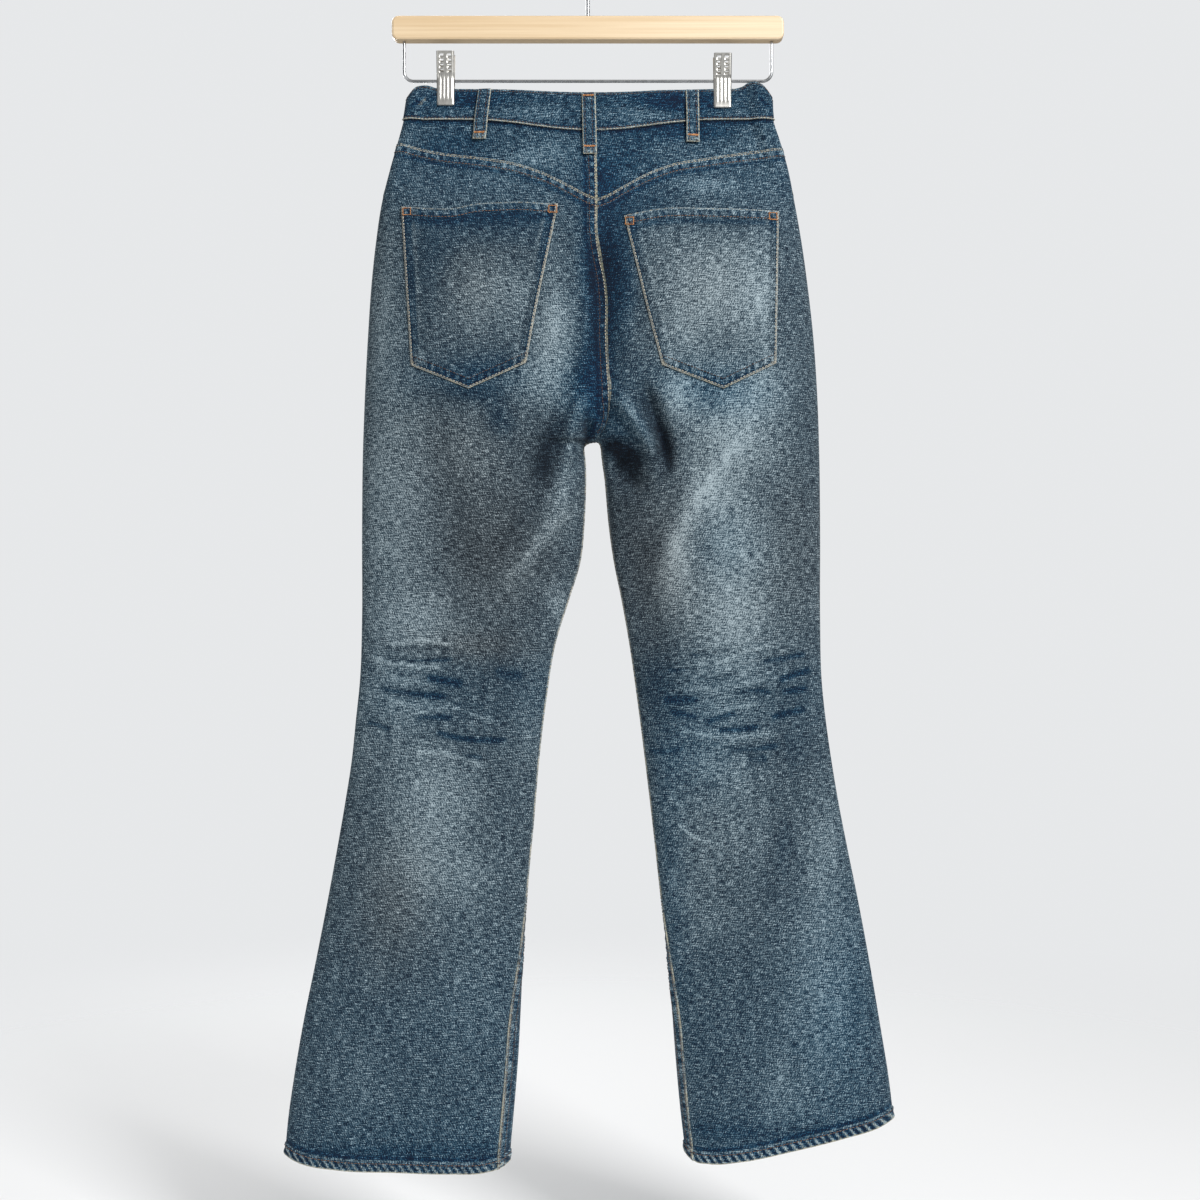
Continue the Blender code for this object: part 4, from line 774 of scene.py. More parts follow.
def normals(side, face, phi, z):
    """Outward unit normals of the inner face. Both halves share them at the centre seam."""
    step_phi, step_z = 2e-3, 0.3
    above = z >= FORK_Z
    phi_a, phi_b = phi - step_phi, phi + step_phi
    if face == "back":
        phi_b = np.where(above, np.minimum(phi_b, 1.0), phi_b)
    else:
        phi_a = np.where(above, np.maximum(phi_a, 1.0), phi_a)
    z_a = np.where(above, np.maximum(z - step_z, FORK_Z), z - step_z)
    z_b = np.where(above, z + step_z, np.minimum(z + step_z, FORK_Z - 1e-4))
    xa, ya = section(side, face, phi_a, z)
    xb, yb = section(side, face, phi_b, z)
    xc, yc = section(side, face, phi, z_a)
    xd, yd = section(side, face, phi, z_b)
    around = np.stack([xb - xa, yb - ya, np.zeros_like(xa)], -1)
    upward = np.stack([xd - xc, yd - yc, z_b - z_a], -1)
    n = -np.cross(around, upward) * SIGN[side]
    at_seam = above & (np.abs(phi - 1.0) < 1e-9)
    turn = 1 if face == "back" else -1
    seam = np.stack([0 * xa, -turn * upward[..., 2], turn * upward[..., 1]], -1)
    n = np.where(at_seam[..., None], seam, n)
    return n / np.linalg.norm(n, axis=-1, keepdims=True)


def soft_waves(x, z):
    """The slight unevenness of a hanging cloth, in millimetres."""
    slow = np.sin(x / 31.0 + 1.3 + 0.7 * np.sin(z / 57.0)) * np.sin(z / 44.0 + 0.4)
    quick = np.sin(x / 13.0 + z / 19.0 + 2.1) * np.sin(z / 23.0 - x / 41.0)
    return 0.35 * slow + 0.12 * quick


def small_relief(face, x, z):
    """Creases and unevenness that stand on the main folds."""
    total = soft_waves(x, z)
    for crease in CREASES[face]:
        total = total + crease.height * line_strength(crease, x, z, CREASE_ENDS)
    return total


def patches(table, x, z):
    """Sum of the soft patches of a table."""
    total = np.zeros(np.shape(x))
    for patch in table:
        lean = math.radians(patch.turn)
        dx = (x - patch.x) * math.cos(lean) - (z - patch.z) * math.sin(lean)
        dz = (x - patch.x) * math.sin(lean) + (z - patch.z) * math.cos(lean)
        total += patch.amount * np.exp(-((dx / patch.width) ** 2) - (dz / patch.height) ** 2)
    return total


def fading(face, fades, x, z, base=BASE_FADE):
    """How far the dye is washed out, 0 raw to 1 pale; some patches hold painted shadow instead."""
    total = base + patches(fades, x, z)
    for crease in CREASES[face]:
        total += crease.fade * line_strength(crease, x, z, CREASE_ENDS)
    return total


def strokes(side, x, z):
    """Extra fade and darkening along the strokes, painted shade and painted highlight, on the leg that
    they belong to.
    """
    fade, dull = np.zeros(x.shape), np.zeros(x.shape)
    for stroke in BACK_STROKES:
        if (stroke.x1 > 9.0) == (side == "right") or stroke.z0 > -460:
            strength = line_strength(stroke, x, z)
            fade += stroke.fade * strength
            dull += stroke.dull * strength
    return fade, dull


def pucker(run):
    """The uneven gathers along a line of stitches, -1 to 1."""
    long_wave = np.sin(run * 2 * math.pi / 9.3 + 0.9 * np.sin(run / 29.0))
    short_wave = np.sin(run * 2 * math.pi / 6.1 + 1.7 + 1.1 * np.sin(run / 21.0))
    return 0.6 * long_wave + 0.4 * short_wave


def window(value, low, high, soft=1.5):
    """1 between low and high, with soft ends."""
    return smoothstep(low - soft, low + soft, value) * smoothstep(high + soft, high - soft, value)


def cloth_point(side, face, x, z, lift):
    """Point on one face of the half garment at (x, z), lifted along the normal."""
    outer = outer_edge(side, z)
    share = np.clip((x - outer) / (inner_edge(side, face, z) - outer), 0.0, 1.0)
    phi = phi_of(share)
    phi = phi if face == "back" else 2 - phi
    px, py = section(side, face, phi, z)
    n = normals(side, face, phi, z)
    return np.stack([px, py, z + 0 * px], -1) + n * lift[..., None], n


def waist_seam_z(face, x, from_fold):
    """Height of the seam under the waistband."""
    if face == "back":
        return WAIST_SEAM_Z - WAIST_SEAM_DIP * dip(x)
    sink = np.sin(math.pi / 2 * np.clip(from_fold / 180.0, 0.0, 1.0)) ** 2
    return WAIST_SEAM_Z - (WAIST_SEAM_DIP + FRONT_DIP) * sink


def waist_top_z(face, side, x, from_fold):
    """Height of the waistband's top edge, with the lobe outside each clip."""
    rise, middle, spread = WAIST_LOBES[side]
    corner = 9.0 * np.clip(1 - from_fold / 7.0, 0.0, 1.0) ** 2
    if face == "back":
        lobe = rise * bell(from_fold, middle, spread)
        return WAIST_TOP_Z - WAIST_TOP_DIP * dip(x) + lobe - corner
    settle = smoothstep(0.0, 22.0, from_fold)
    sink = np.sin(math.pi / 2 * np.clip(from_fold / 180.0, 0.0, 1.0)) ** 2
    level = (WAIST_TOP_Z - 11.0) + 9.0 * settle
    return level - (WAIST_TOP_DIP + FRONT_DIP) * sink


def yoke_seam_z(side, x):
    edge = YOKE_SIDES[side]
    return along(YOKE_SEAM, side, np.clip((x - edge) / (YOKE_CENTRE - edge), 0.0, 1.0), "across")


def hem_z(side, share):
    return along(HEMS, side, share, "across")


def inseam_phi(side, z):
    """Where the inseam lies round the section: past the inner fold, towards the back."""
    return 1 - INSEAM_TURN[side] * smoothstep(*INSEAM_TURN_Z, z)


def settle_to_hem(side, z, share):
    """Bends the level rows of the legs to the hem's own curve."""
    sink = smoothstep(HEM_FADE_Z, HEM_Z, z)
    return z + (hem_z(side, share) - HEM_Z) * np.where(z < HEM_FADE_Z, sink, 0.0)


def settled(side, face, share, z, height_at):
    """Heights that depend on x, which depends on the heights; and x and its way from the side."""
    for _ in range(SETTLING):
        outer = outer_edge(side, z)
        x = outer + share * (inner_edge(side, face, z) - outer)
        away = np.abs(x - outer)
        z = height_at(x, away)
    return z, x, away


def rows_to_seam(side, face, share, level, seam_at, fade_from):
    """Heights of a panel's points: its rows follow the top seam and fade to level below."""
    rise = np.clip((level - YOKE_FADE_Z) / (fade_from - YOKE_FADE_Z), 0.0, 1.0)
    z, _, _ = settled(side, face, share, level,
                      lambda x, away: level + (seam_at(x, away) - fade_from) * rise)
    return settle_to_hem(side, z, share)


def stops(*legs):
    """Values from one stop to the next, each leg at its own spacing: (from, to, spacing)."""
    parts = []
    for start, end, spacing in legs:
        count = max(1, int(round(abs(end - start) / spacing)))
        parts.append(np.linspace(start, end, count, endpoint=False))
    return np.append(np.concatenate(parts), legs[-1][1])


def grid_normals(points, like):
    """Unit normals of a grid of points, turned the same way as the point like(-y or +y)."""
    down = np.gradient(points, axis=0)
    across = np.gradient(points, axis=1)
    n = np.cross(down, across)
    n /= np.linalg.norm(n, axis=-1, keepdims=True)
    middle = n[n.shape[0] // 2, n.shape[1] // 2]
    return n if middle @ np.array(like, float) > 0 else -n


# The last value is painted shade: how far the colour is darkened where shade falls.
Cloth = namedtuple("Cloth", "points normals wall fade worn dull")


def run_from(points, end):
    """Length along each row from its first or last point."""
    steps = np.linalg.norm(np.diff(points, axis=1), axis=-1)
    if end == "last":
        steps = steps[:, ::-1]
    run = np.concatenate([np.zeros((len(points), 1)), np.cumsum(steps, axis=1)], axis=1)
    return run[:, ::-1] if end == "last" else run


def along_the_grain(points, grain):
    """Each point's place on the flat cloth, in metres: across from the grain line, and up."""
    run = run_from(points, "first")
    if grain:
        sure = int(points.shape[1] * 0.7)
        way = np.sign(points[0, sure, 0] - points[0, 0, 0])
        for row, line in enumerate(points):
            share = (line[:, 2].mean() - YOKE_Z) / (HEM_Z - YOKE_Z)
            x = grain[0] + (grain[1] - grain[0]) * share
            run[row] -= np.interp(way * x, way * line[:sure, 0], run[row, :sure])
    return np.stack([run, points[..., 2]], -1) * MM


@contextmanager
def edited(mesh):
    """Opens a mesh, new or made, for a change to its faces, and writes it back."""
    shape = bmesh.new()
    shape.from_mesh(mesh)
    yield shape
    shape.to_mesh(mesh)
    shape.free()


def placed(name, data):
    """A new object in the scene."""
    obj = bpy.data.objects.new(name, data)
    bpy.context.scene.collection.objects.link(obj)
    return obj


def read(items, key, width, kind=float):
    """One value of every item, a row for each."""
    values = np.zeros(len(items) * width, kind)
    items.foreach_get(key, values)
    return values.reshape(-1, width)


def sew_grid(name, cloth, materials, grain=None):
    """A piece of cloth: a grid laid on its outer points, given its wall by Solidify."""
    rows, columns = cloth.points.shape[:2]
    mesh = bpy.data.meshes.new(name)
    with edited(mesh) as shape:
        bmesh.ops.create_grid(shape, x_segments=columns - 1, y_segments=rows - 1, size=0.5)
    place = read(mesh.vertices, "co", 3)
    low, high = place.min(0), place.max(0)
    column = np.rint((place[:, 0] - low[0]) / (high[0] - low[0]) * (columns - 1)).astype(int)
    row = np.rint((high[1] - place[:, 1]) / (high[1] - low[1]) * (rows - 1)).astype(int)
    mesh.vertices.foreach_set("co", (cloth.points[row, column] * MM).ravel())

    flat = along_the_grain(cloth.points, grain)[row, column]
    flat[:, 0] += CLOTH_SHIFT * len(bpy.data.objects)
    corner = read(mesh.loops, "vertex_index", 1, int)[:, 0]
    mesh.uv_layers.new(name="cloth").data.foreach_set("uv", flat[corner].ravel())
    tint = patches(BLUE, cloth.points[..., 0], cloth.points[..., 2])
    tint = tint + DEEP_BLUE * np.clip(DEEP_DYE - cloth.fade, 0.0, 0.25)
    looks = {"fade": cloth.fade, "worn": cloth.worn, "dull": cloth.dull, "tint": tint}
    for label, values in looks.items():
        layer = mesh.attributes.new(label, "FLOAT", "POINT")
        layer.data.foreach_set("value", values[row, column].astype(np.float32))

    mesh.update()
    first = np.array([polygon.vertices[0] for polygon in mesh.polygons])
    outward = cloth.normals[row[first], column[first]]
    if (read(mesh.polygons, "normal", 3) * outward).sum() < 0:
        mesh.flip_normals()
    mesh.shade_smooth()
    rim = (row == 0) | (row == rows - 1) | (column == 0) | (column == columns - 1)
    start, end = read(mesh.edges, "vertices", 2, int).T
    along_row = (row[start] == row[end]) & np.isin(row[start], (0, rows - 1))
    along_column = (column[start] == column[end]) & np.isin(column[start], (0, columns - 1))
    sharp = rim[start] & rim[end] & (along_row | along_column)
    mesh.attributes.new("sharp_edge", "BOOLEAN", "EDGE").data.foreach_set("value", sharp)

    obj = placed(name, mesh)
    for finish in materials:
        mesh.materials.append(finish)
    thickest = float(cloth.wall.max())
    group = obj.vertex_groups.new(name="wall")
    share = np.round(cloth.wall[row, column] / thickest, 2)
    for level in np.unique(share):
        group.add(np.nonzero(share == level)[0].tolist(), float(level), "REPLACE")
    wall = obj.modifiers.new("wall", "SOLIDIFY")
    wall.thickness = thickest * MM
    wall.offset = -1.0
    wall.vertex_group = "wall"
    wall.material_offset = 1 if len(materials) > 1 else 0
    return obj


def dress(obj, slot, *nodes):
    """The piece rides on the part and stands for its solids; its slot is not used."""
    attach(obj, "root")
    if nodes:
        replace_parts(obj, *nodes)
    return obj


def across_columns(first, last, count, evenness=0.35):
    """phi of a panel's columns, closer together at both of its edges."""
    even = np.linspace(0.0, 1.0, count)
    turned = (1 - evenness) * even + evenness * phi_of(even)
    return first[:, None] + (last - first)[:, None] * turned


def on_panel(side, face, phi, z):
    """Inner points of a panel and their outward normals, shared by both halves at the seam."""
    px, py = section(side, face, phi, z)
    inner = np.stack([px, py, z + 0 * px], -1)
    turn = OUTWARD[face]
    n = grid_normals(inner, (0, turn, 0))
    at_seam = (z[:, -1] >= FORK_Z - 1e-6) & (np.abs(phi[:, -1] - 1.0) < 1e-6)
    down = np.gradient(inner[:, -1], axis=0)
    seam = np.stack([0 * down[:, 0], -turn * down[:, 2], turn * down[:, 1]], -1)
    seam /= np.linalg.norm(seam, axis=-1, keepdims=True)
    n[at_seam, -1] = seam[at_seam]
    return inner, n


def felled_band(away, run, width):
    """Lift, fade and wear of a seam folded over and sewn down by two rows of stitches; the fade holds
    a painted shadow just past the band.
    """
    inside = window(away, 0.4, width, 0.5)
    gathers = pucker(run) * window(away, 2.6, width - 1.6, 1.1)
    rows = bell(away, EDGE_ROW, 0.7) + bell(away, SECOND_ROW, 0.8)
    lift = SEAM_EXTRA * np.maximum(inside, smoothstep(0.8, 0.0, away)) + 0.5 * gathers - 0.35 * rows
    edge = bell(away, 0.4, 0.9) + 0.35 * bell(away, width, 0.9)
    # Just past the band the fade darkens: painted shadow of its raised edge, and partly indigo that
    # the edge kept from rubbing.
    beyond = bell(away - width, 2.2, 1.8)
    fade = 0.34 * gathers + 0.14 * edge - 0.16 * rows - 0.24 * beyond
    worn = 1.05 * edge * (0.7 + 0.3 * pucker(run * 1.7 + 11.0))
    return lift, fade, worn


def hem_band(away, run):
    """Lift, fade and wear of a turned-up hem, roped slantwise by years of washing."""
    inside = smoothstep(HEM_HEIGHT + 0.5, HEM_HEIGHT - 0.5, away)
    rope = np.sin((run + 0.75 * away) * 2 * math.pi / 7.4 + 1.2 * np.sin(run / 19.0))
    rope = rope * window(away, 0.6, HEM_HEIGHT - 1.8, 1.2)
    row = bell(away - HEM_HEIGHT, -1.6, 0.8)
    lift = HEM_EXTRA * inside + 0.55 * rope - 0.35 * row
    edge = bell(away, 0.0, 1.0)
    above = bell(away - HEM_HEIGHT, 0.6, 0.9)
    indigo = bell(away - HEM_HEIGHT, 3.4, 2.2)
    fade = 0.40 * rope + 0.25 * edge + 0.24 * above - 0.26 * indigo - 0.14 * row
    worn = 0.9 * edge + 0.5 * above * (0.5 + 0.5 * pucker(run * 1.3 + 5.0))
    worn = worn + 0.5 * np.maximum(rope, 0.0)
    return lift, fade, worn


BAND_WALL = 0.9  # share of a seam's or hem's lift that is cloth and not air
YOKE_SLOPE = 0.97  # distance from the yoke seam, as a share of the height below it
LEG_LEVELS = [(FORK_Z, -496.4, 0.4), (-496.4, -504.0, 1.1)]
BACK_LEVELS = [(YOKE_Z, -248.0, 1.2), (-248.0, -430.0, 3.3), (-430.0, FORK_Z, 2.0)] + LEG_LEVELS
BACK_LEVELS += [(-504.0, -560.0, 2.0), (-560.0, -690.0, 3.2), (-690.0, -892.0, 1.8)]
BACK_LEVELS += [(-892.0, -1166.0, 4.2), (-1166.0, HEM_Z, 1.1)]
BACK_COLUMNS = 122
YOKE_ROWS = 46
FRONT_LEVELS = [(-258.0, -440.0, 3.8), (-440.0, FORK_Z, 2.6)] + LEG_LEVELS
FRONT_LEVELS += [(-504.0, -690.0, 3.8), (-690.0, -800.0, 2.2), (-800.0, -1166.0, 4.8)]
FRONT_LEVELS += [(-1166.0, HEM_Z, 1.2)]
FRONT_COLUMNS = 92


def away_from_folds(side, face, x, z):
    """0 on the side and inner folds, 1 a little way in, so that small creases end there."""
    from_side = smoothstep(0.0, CREASE_CLEAR, np.abs(x - outer_edge(side, z)))
    from_inside = smoothstep(0.0, CREASE_CLEAR, np.abs(x - inner_edge(side, face, z)))
    return from_side * (1 + (from_inside - 1) * smoothstep(FORK_Z + 16.0, FORK_Z, z))


def add_bands(lift, fade, bands):
    """A panel's lift, fade, wear and wall with its seams and hem added."""
    worn, wall = np.zeros(lift.shape), np.full(lift.shape, DENIM)
    for band_lift, band_fade, band_worn in bands:
        lift = lift + band_lift
        fade = fade + band_fade
        worn = np.maximum(worn, band_worn)
        wall = wall + np.maximum(band_lift, 0.0) * BAND_WALL
    return lift, fade, worn, wall


def back_cloth(side):
    """One back, from the yoke seam to the hem."""
    level = stops(*BACK_LEVELS)
    phi = across_columns(0 * level, inseam_phi(side, level), BACK_COLUMNS)
    share = share_of(phi)
    z = rows_to_seam(side, "back", share, level[:, None] + 0 * phi,
                     lambda x, _: yoke_seam_z(side, x), YOKE_Z)
    inner, n = on_panel(side, "back", phi, z)
    x = inner[..., 0]
    lift = small_relief("back", x, z) * away_from_folds(side, "back", x, z)
    fade = fading("back", BACK_FADES, x, z)
    bands = [felled_band((yoke_seam_z(side, x) - z) * YOKE_SLOPE, x, SEAM_BAND)]
    from_last = run_from(inner, "last")
    above_fork = smoothstep(FORK_Z - 1.0, FORK_Z + 1.0, z)
    if side == "left":
        band = felled_band(from_last, z, SEAM_BAND)
        bands.append(tuple(part * above_fork for part in band))
    bands.append(hem_band(z - hem_z(side, share), x))
    lift, fade, worn, wall = add_bands(lift, fade, bands)
    lift = lift + np.where(z < FORK_Z, -0.5 * bell(from_last, 0.0, 1.6), 0.0)
    fade = fade + np.where(z < FORK_Z, 0.10 * bell(from_last, 0.0, 3.0), 0.0)
    points = inner + n * (DENIM + lift)[..., None]
    # Painted shade and painted highlight from the strokes, and painted shade in the hollows.
    stroke_light_and_shade, stroke_painted_shade = strokes(side, x, z)
    dull = np.clip(patches(BACK_HOLLOW_SHADE, x, z) + stroke_painted_shade, 0.0, MOST_PAINTED_SHADE)
    return Cloth(points, n, wall, fade + stroke_light_and_shade, worn, dull)


def yoke_cloth(side):
    """The V-shaped piece between the waistband and a back."""
    down = np.linspace(0.0, 1.0, YOKE_ROWS)[:, None]
    phi = across_columns(np.zeros(YOKE_ROWS), np.ones(YOKE_ROWS), BACK_COLUMNS)

    def height_at(x, away):
        top = waist_seam_z("back", x, away)
        return top + (yoke_seam_z(side, x) - top) * down

    z, x, away = settled(side, "back", share_of(phi), np.full(phi.shape, YOKE_Z), height_at)
    under_band = waist_seam_z("back", x, away) - z
    inner, n = on_panel(side, "back", phi, z)
    x = inner[..., 0]
    lift = small_relief("back", x, z) * away_from_folds(side, "back", x, z)
    fade = fading("back", BACK_FADES, x, z, base=0.34)
    bands = [felled_band(run_from(inner, "last"), z, SEAM_BAND)] if side == "left" else []
    lift, fade, worn, wall = add_bands(lift, fade, bands)
    above = z - yoke_seam_z(side, x)
    # Darker just above the yoke seam and just under the waistband: painted shadow of their raised
    # edges, and partly indigo that the edges kept from rubbing.
    fade = fade - 0.14 * bell(above, 0.0, 2.2) - 0.36 * bell(under_band, 0.0, 3.0)
    fade = fade + 0.10 * pucker(x) * bell(above, 0.0, 5.0)
    lift = lift + 0.25 * pucker(x) * bell(above, 2.5, 3.5)
    points = inner + n * (DENIM + lift)[..., None]
    # Painted shadow under the waistband, added to the painted shade in the hollows.
    dull = patches(BACK_HOLLOW_SHADE, x, z) + 0.45 * smoothstep(3.4, 0.0, under_band)
    return Cloth(points, n, wall, fade, worn, np.clip(dull, 0.0, MOST_PAINTED_SHADE))


def scoop_width(side):
    """The scoop's width at the waist seam, as a share of the front's width."""
    return SCOOP_WIDTH / abs(inner_edge(side, "front", -220.0) - outer_edge(side, -220.0))


def front_seam(x, from_fold):
    return waist_seam_z("front", x, from_fold)


def lap_over(points, side, px, z):
    """The wearer's left front laps over the right one at the fly."""
    if side == "left":
        from_centre = np.abs(px - inner_edge(side, "front", z))
        low = FRONT_SEAM_Z - FLY_LENGTH
        points[..., 0] += LAP * smoothstep(16.0, 0.0, from_centre) * smoothstep(low - 8, low + 22, z)
        points[..., 1] += (LAP_LIFT * smoothstep(17.0, 8.0, from_centre)
                           * smoothstep(low - 48, low - 10, z))
    return points


def front_cloth(side):
    """One front, scooped out for its pocket, its inseam felled."""
    turns = np.radians(np.linspace(0.0, 90.0, 27))
    below = stops(*FRONT_LEVELS)[1:]
    level = np.concatenate([FRONT_SEAM_Z - SCOOP_DEPTH * np.sin(turns), below])
    starts = np.concatenate([scoop_width(side) * np.cos(turns), 0 * below])
    starts[len(turns) - 1] = 0.0
    phi = across_columns(2 - phi_of(starts), inseam_phi(side, level), FRONT_COLUMNS)
    share = share_of(phi)
    z = rows_to_seam(side, "front", share, level[:, None] + 0 * phi, front_seam, FRONT_SEAM_Z)
    inner, n = on_panel(side, "front", phi, z)
    x = inner[..., 0]
    lift = small_relief("front", x, z) * away_from_folds(side, "front", x, z)
    fade = fading("front", FRONT_FADES, x, z, base=0.40)
    legs = smoothstep(FORK_Z + 1.0, FORK_Z - 1.0, z)
    scoop = smoothstep(FRONT_SEAM_Z - SCOOP_DEPTH - 2, FRONT_SEAM_Z - SCOOP_DEPTH + 6, z)
    inseam = felled_band(run_from(inner, "last"), z, SEAM_BAND)
    mouth = felled_band(run_from(inner, "first"), z, SEAM_BAND)
    bands = [tuple(part * legs for part in inseam), tuple(part * scoop for part in mouth)]
    if side == "left":
        bands.append(tuple(part * (1 - legs) * 0.8 for part in inseam))
    bands.append(hem_band(z - hem_z(side, share), x))
    lift, fade, worn, wall = add_bands(lift, fade, bands)
    points = lap_over(inner + n * (DENIM + lift)[..., None], side, x, z)
    return Cloth(points, n, wall, fade, worn, patches(FRONT_HOLLOW_SHADE, x, z))


def facing_cloth(side):
    """The denim that shows in the scoop, tucked under the front."""
    count = 27
    corner = (count - 1) // 2
    turns = np.radians(np.linspace(0.0, 90.0, count))
    along_edge = np.arange(count)
    near_share = 0.5 * scoop_width(side) * np.clip(1 - along_edge / corner, 0.0, 1.0)
    near_drop = 0.5 * SCOOP_DEPTH * np.clip(along_edge / corner - 1, 0.0, 1.0)
    far_share = scoop_width(side) * np.cos(turns)
    far_share[-1] = 0.0
    far_drop = SCOOP_DEPTH * np.sin(turns)
    columns = np.append(np.linspace(0.0, 1.0, 16), [1.05, 1.10])
    reach, beyond = np.minimum(columns, 1.0), np.maximum(columns, 1.0)
    share = (near_share[:, None] + (far_share - near_share)[:, None] * reach) * beyond
    drop = (near_drop[:, None] + (far_drop - near_drop)[:, None] * reach) * beyond
    level = FRONT_SEAM_Z - np.maximum(drop, 0.1)
    z = rows_to_seam(side, "front", share, level, front_seam, FRONT_SEAM_Z)
    phi = 2 - phi_of(share)
    px, py = section(side, "front", phi, z)
    inner = np.stack([px, py, z], -1)
    n = normals(side, "front", phi, z)
    sunk = 3.6 * smoothstep(0.93, 1.10, columns) + 0 * share
    points = inner + n * (DENIM - sunk + 0.3 * soft_waves(px, z))[..., None]
    fade = np.full(px.shape, 0.22) - 0.12 * smoothstep(0.6, 1.0, columns)
    plain = np.zeros(px.shape)
    return Cloth(points, n, plain + DENIM, fade, plain, plain)


def waist_stretch(side, face, share, down):
    """Points and normals of one quarter of the waistband's inner face."""
    sign = OUTWARD[face]

    def height_at(x, away):
        top = waist_top_z(face, side, x, away)
        return top + (waist_seam_z(face, x, away) - top) * down[:, None]

    z, x, away = settled(side, face, share, np.full((len(down), len(share)), WAIST_SEAM_Z), height_at)
    step = 0.6
    growth = waist_half(side, away + step) - waist_half(side, np.maximum(away - step, 0.0))
    slope = growth / (step + np.minimum(away, step))
    inner = np.stack([x, sign * waist_half(side, away), z], -1)
    n = np.stack([SIGN[side] * slope, np.full(x.shape, float(sign)), 0 * x], -1)
    n[away < 1e-6] = (SIGN[side], 0.0, 0.0)
    n /= np.linalg.norm(n, axis=-1, keepdims=True)
    if face == "front":
        end = np.maximum(0.0, 1 - np.abs(x - inner_edge(side, face, z)) / LAP_REACH)
        inner[..., 0] += (UNDERLAP if side == "right" else TAB) * end
        if side == "left":
            inner[..., 1] += TAB_LIFT * smoothstep(*TAB_RAMP, inner[..., 0]) * (end > 0)
    return inner, n


def waistband_cloth():
    """One strip of two layers round the waist, its ends lapped at the front."""
    down = np.linspace(0.0, 1.0, 30)
    even = np.linspace(0.0, 1.0, 106)
    half_turn = share_of(even * 0.5 + 0.5 * phi_of(even))
    quarters = [("right", "front", half_turn[::-1]), ("right", "back", half_turn[1:]),
                ("left", "back", half_turn[-2::-1]), ("left", "front", half_turn[1:])]
    made = [waist_stretch(side, face, share, down) for side, face, share in quarters]
    inner = np.concatenate([grid for grid, _ in made], axis=1)
    n = np.concatenate([grid for _, grid in made], axis=1)
    x, z = inner[..., 0], inner[..., 2]
    high = np.linalg.norm(inner[:1] - inner[-1:], axis=-1)
    low_away, top_away = (1 - down[:, None]) * high, down[:, None] * high
    run = run_from(inner, "first")
    gathers = pucker(run)
    lift = 0.25 * soft_waves(run, z * 2.0) - 0.9 * smoothstep(1.6, 0.0, top_away) ** 2
    lift = lift + 0.45 * bell(low_away, 0.9, 0.9) - 0.4 * smoothstep(0.8, 0.0, low_away)
    lift = lift - 0.3 * bell(low_away, 2.6, 0.7)
    lift = lift - 0.22 * bell(top_away, 2.4, 0.7)
    lift = lift + 0.16 * gathers * window(low_away, 3.4, 8.0, 2.0)
    fade = fading("back", WAISTBAND_FADES, x, z, base=0.26)
    streaks = np.sin(z * 1.9 + 0.6 * np.sin(run / 33.0)) * np.sin(run / 47.0 + 0.8)
    fade = fade + 0.07 * streaks + 0.10 * gathers * window(low_away, 3.0, 9.0, 2.0)
    fade = fade + 0.34 * bell(low_away, 0.8, 0.9)
    fade = fade - 0.22 * bell(low_away, 2.8, 0.8)
    fade = fade + 0.18 * bell(top_away, 0.0, 1.4)
    worn = 0.75 * bell(top_away, 0.0, 1.1) * (0.5 + 0.5 * pucker(run * 1.1 + 3.0))
    worn = np.maximum(worn, 0.8 * bell(low_away, 0.7, 0.8))
    # Turned in and stitched down where the clips leave it loose, it creases aslant
    for crease in WAISTBAND_CREASES:
        dent = line_strength(crease, x, z) * (n[..., 1] < 0)
        lift = lift + crease.height * dent
        fade = fade + crease.fade * dent
    rubbed = line_strength(WAISTBAND_RUB, x, z) * (n[..., 1] < 0)
    worn = np.maximum(worn, 0.65 * rubbed * (0.7 + 0.3 * pucker(z * 4.0)))
    points = inner + n * (WAISTBAND_WALL + lift)[..., None]
    plain = np.zeros(x.shape)
    return Cloth(points, n, plain + WAISTBAND_WALL, fade, worn, plain)


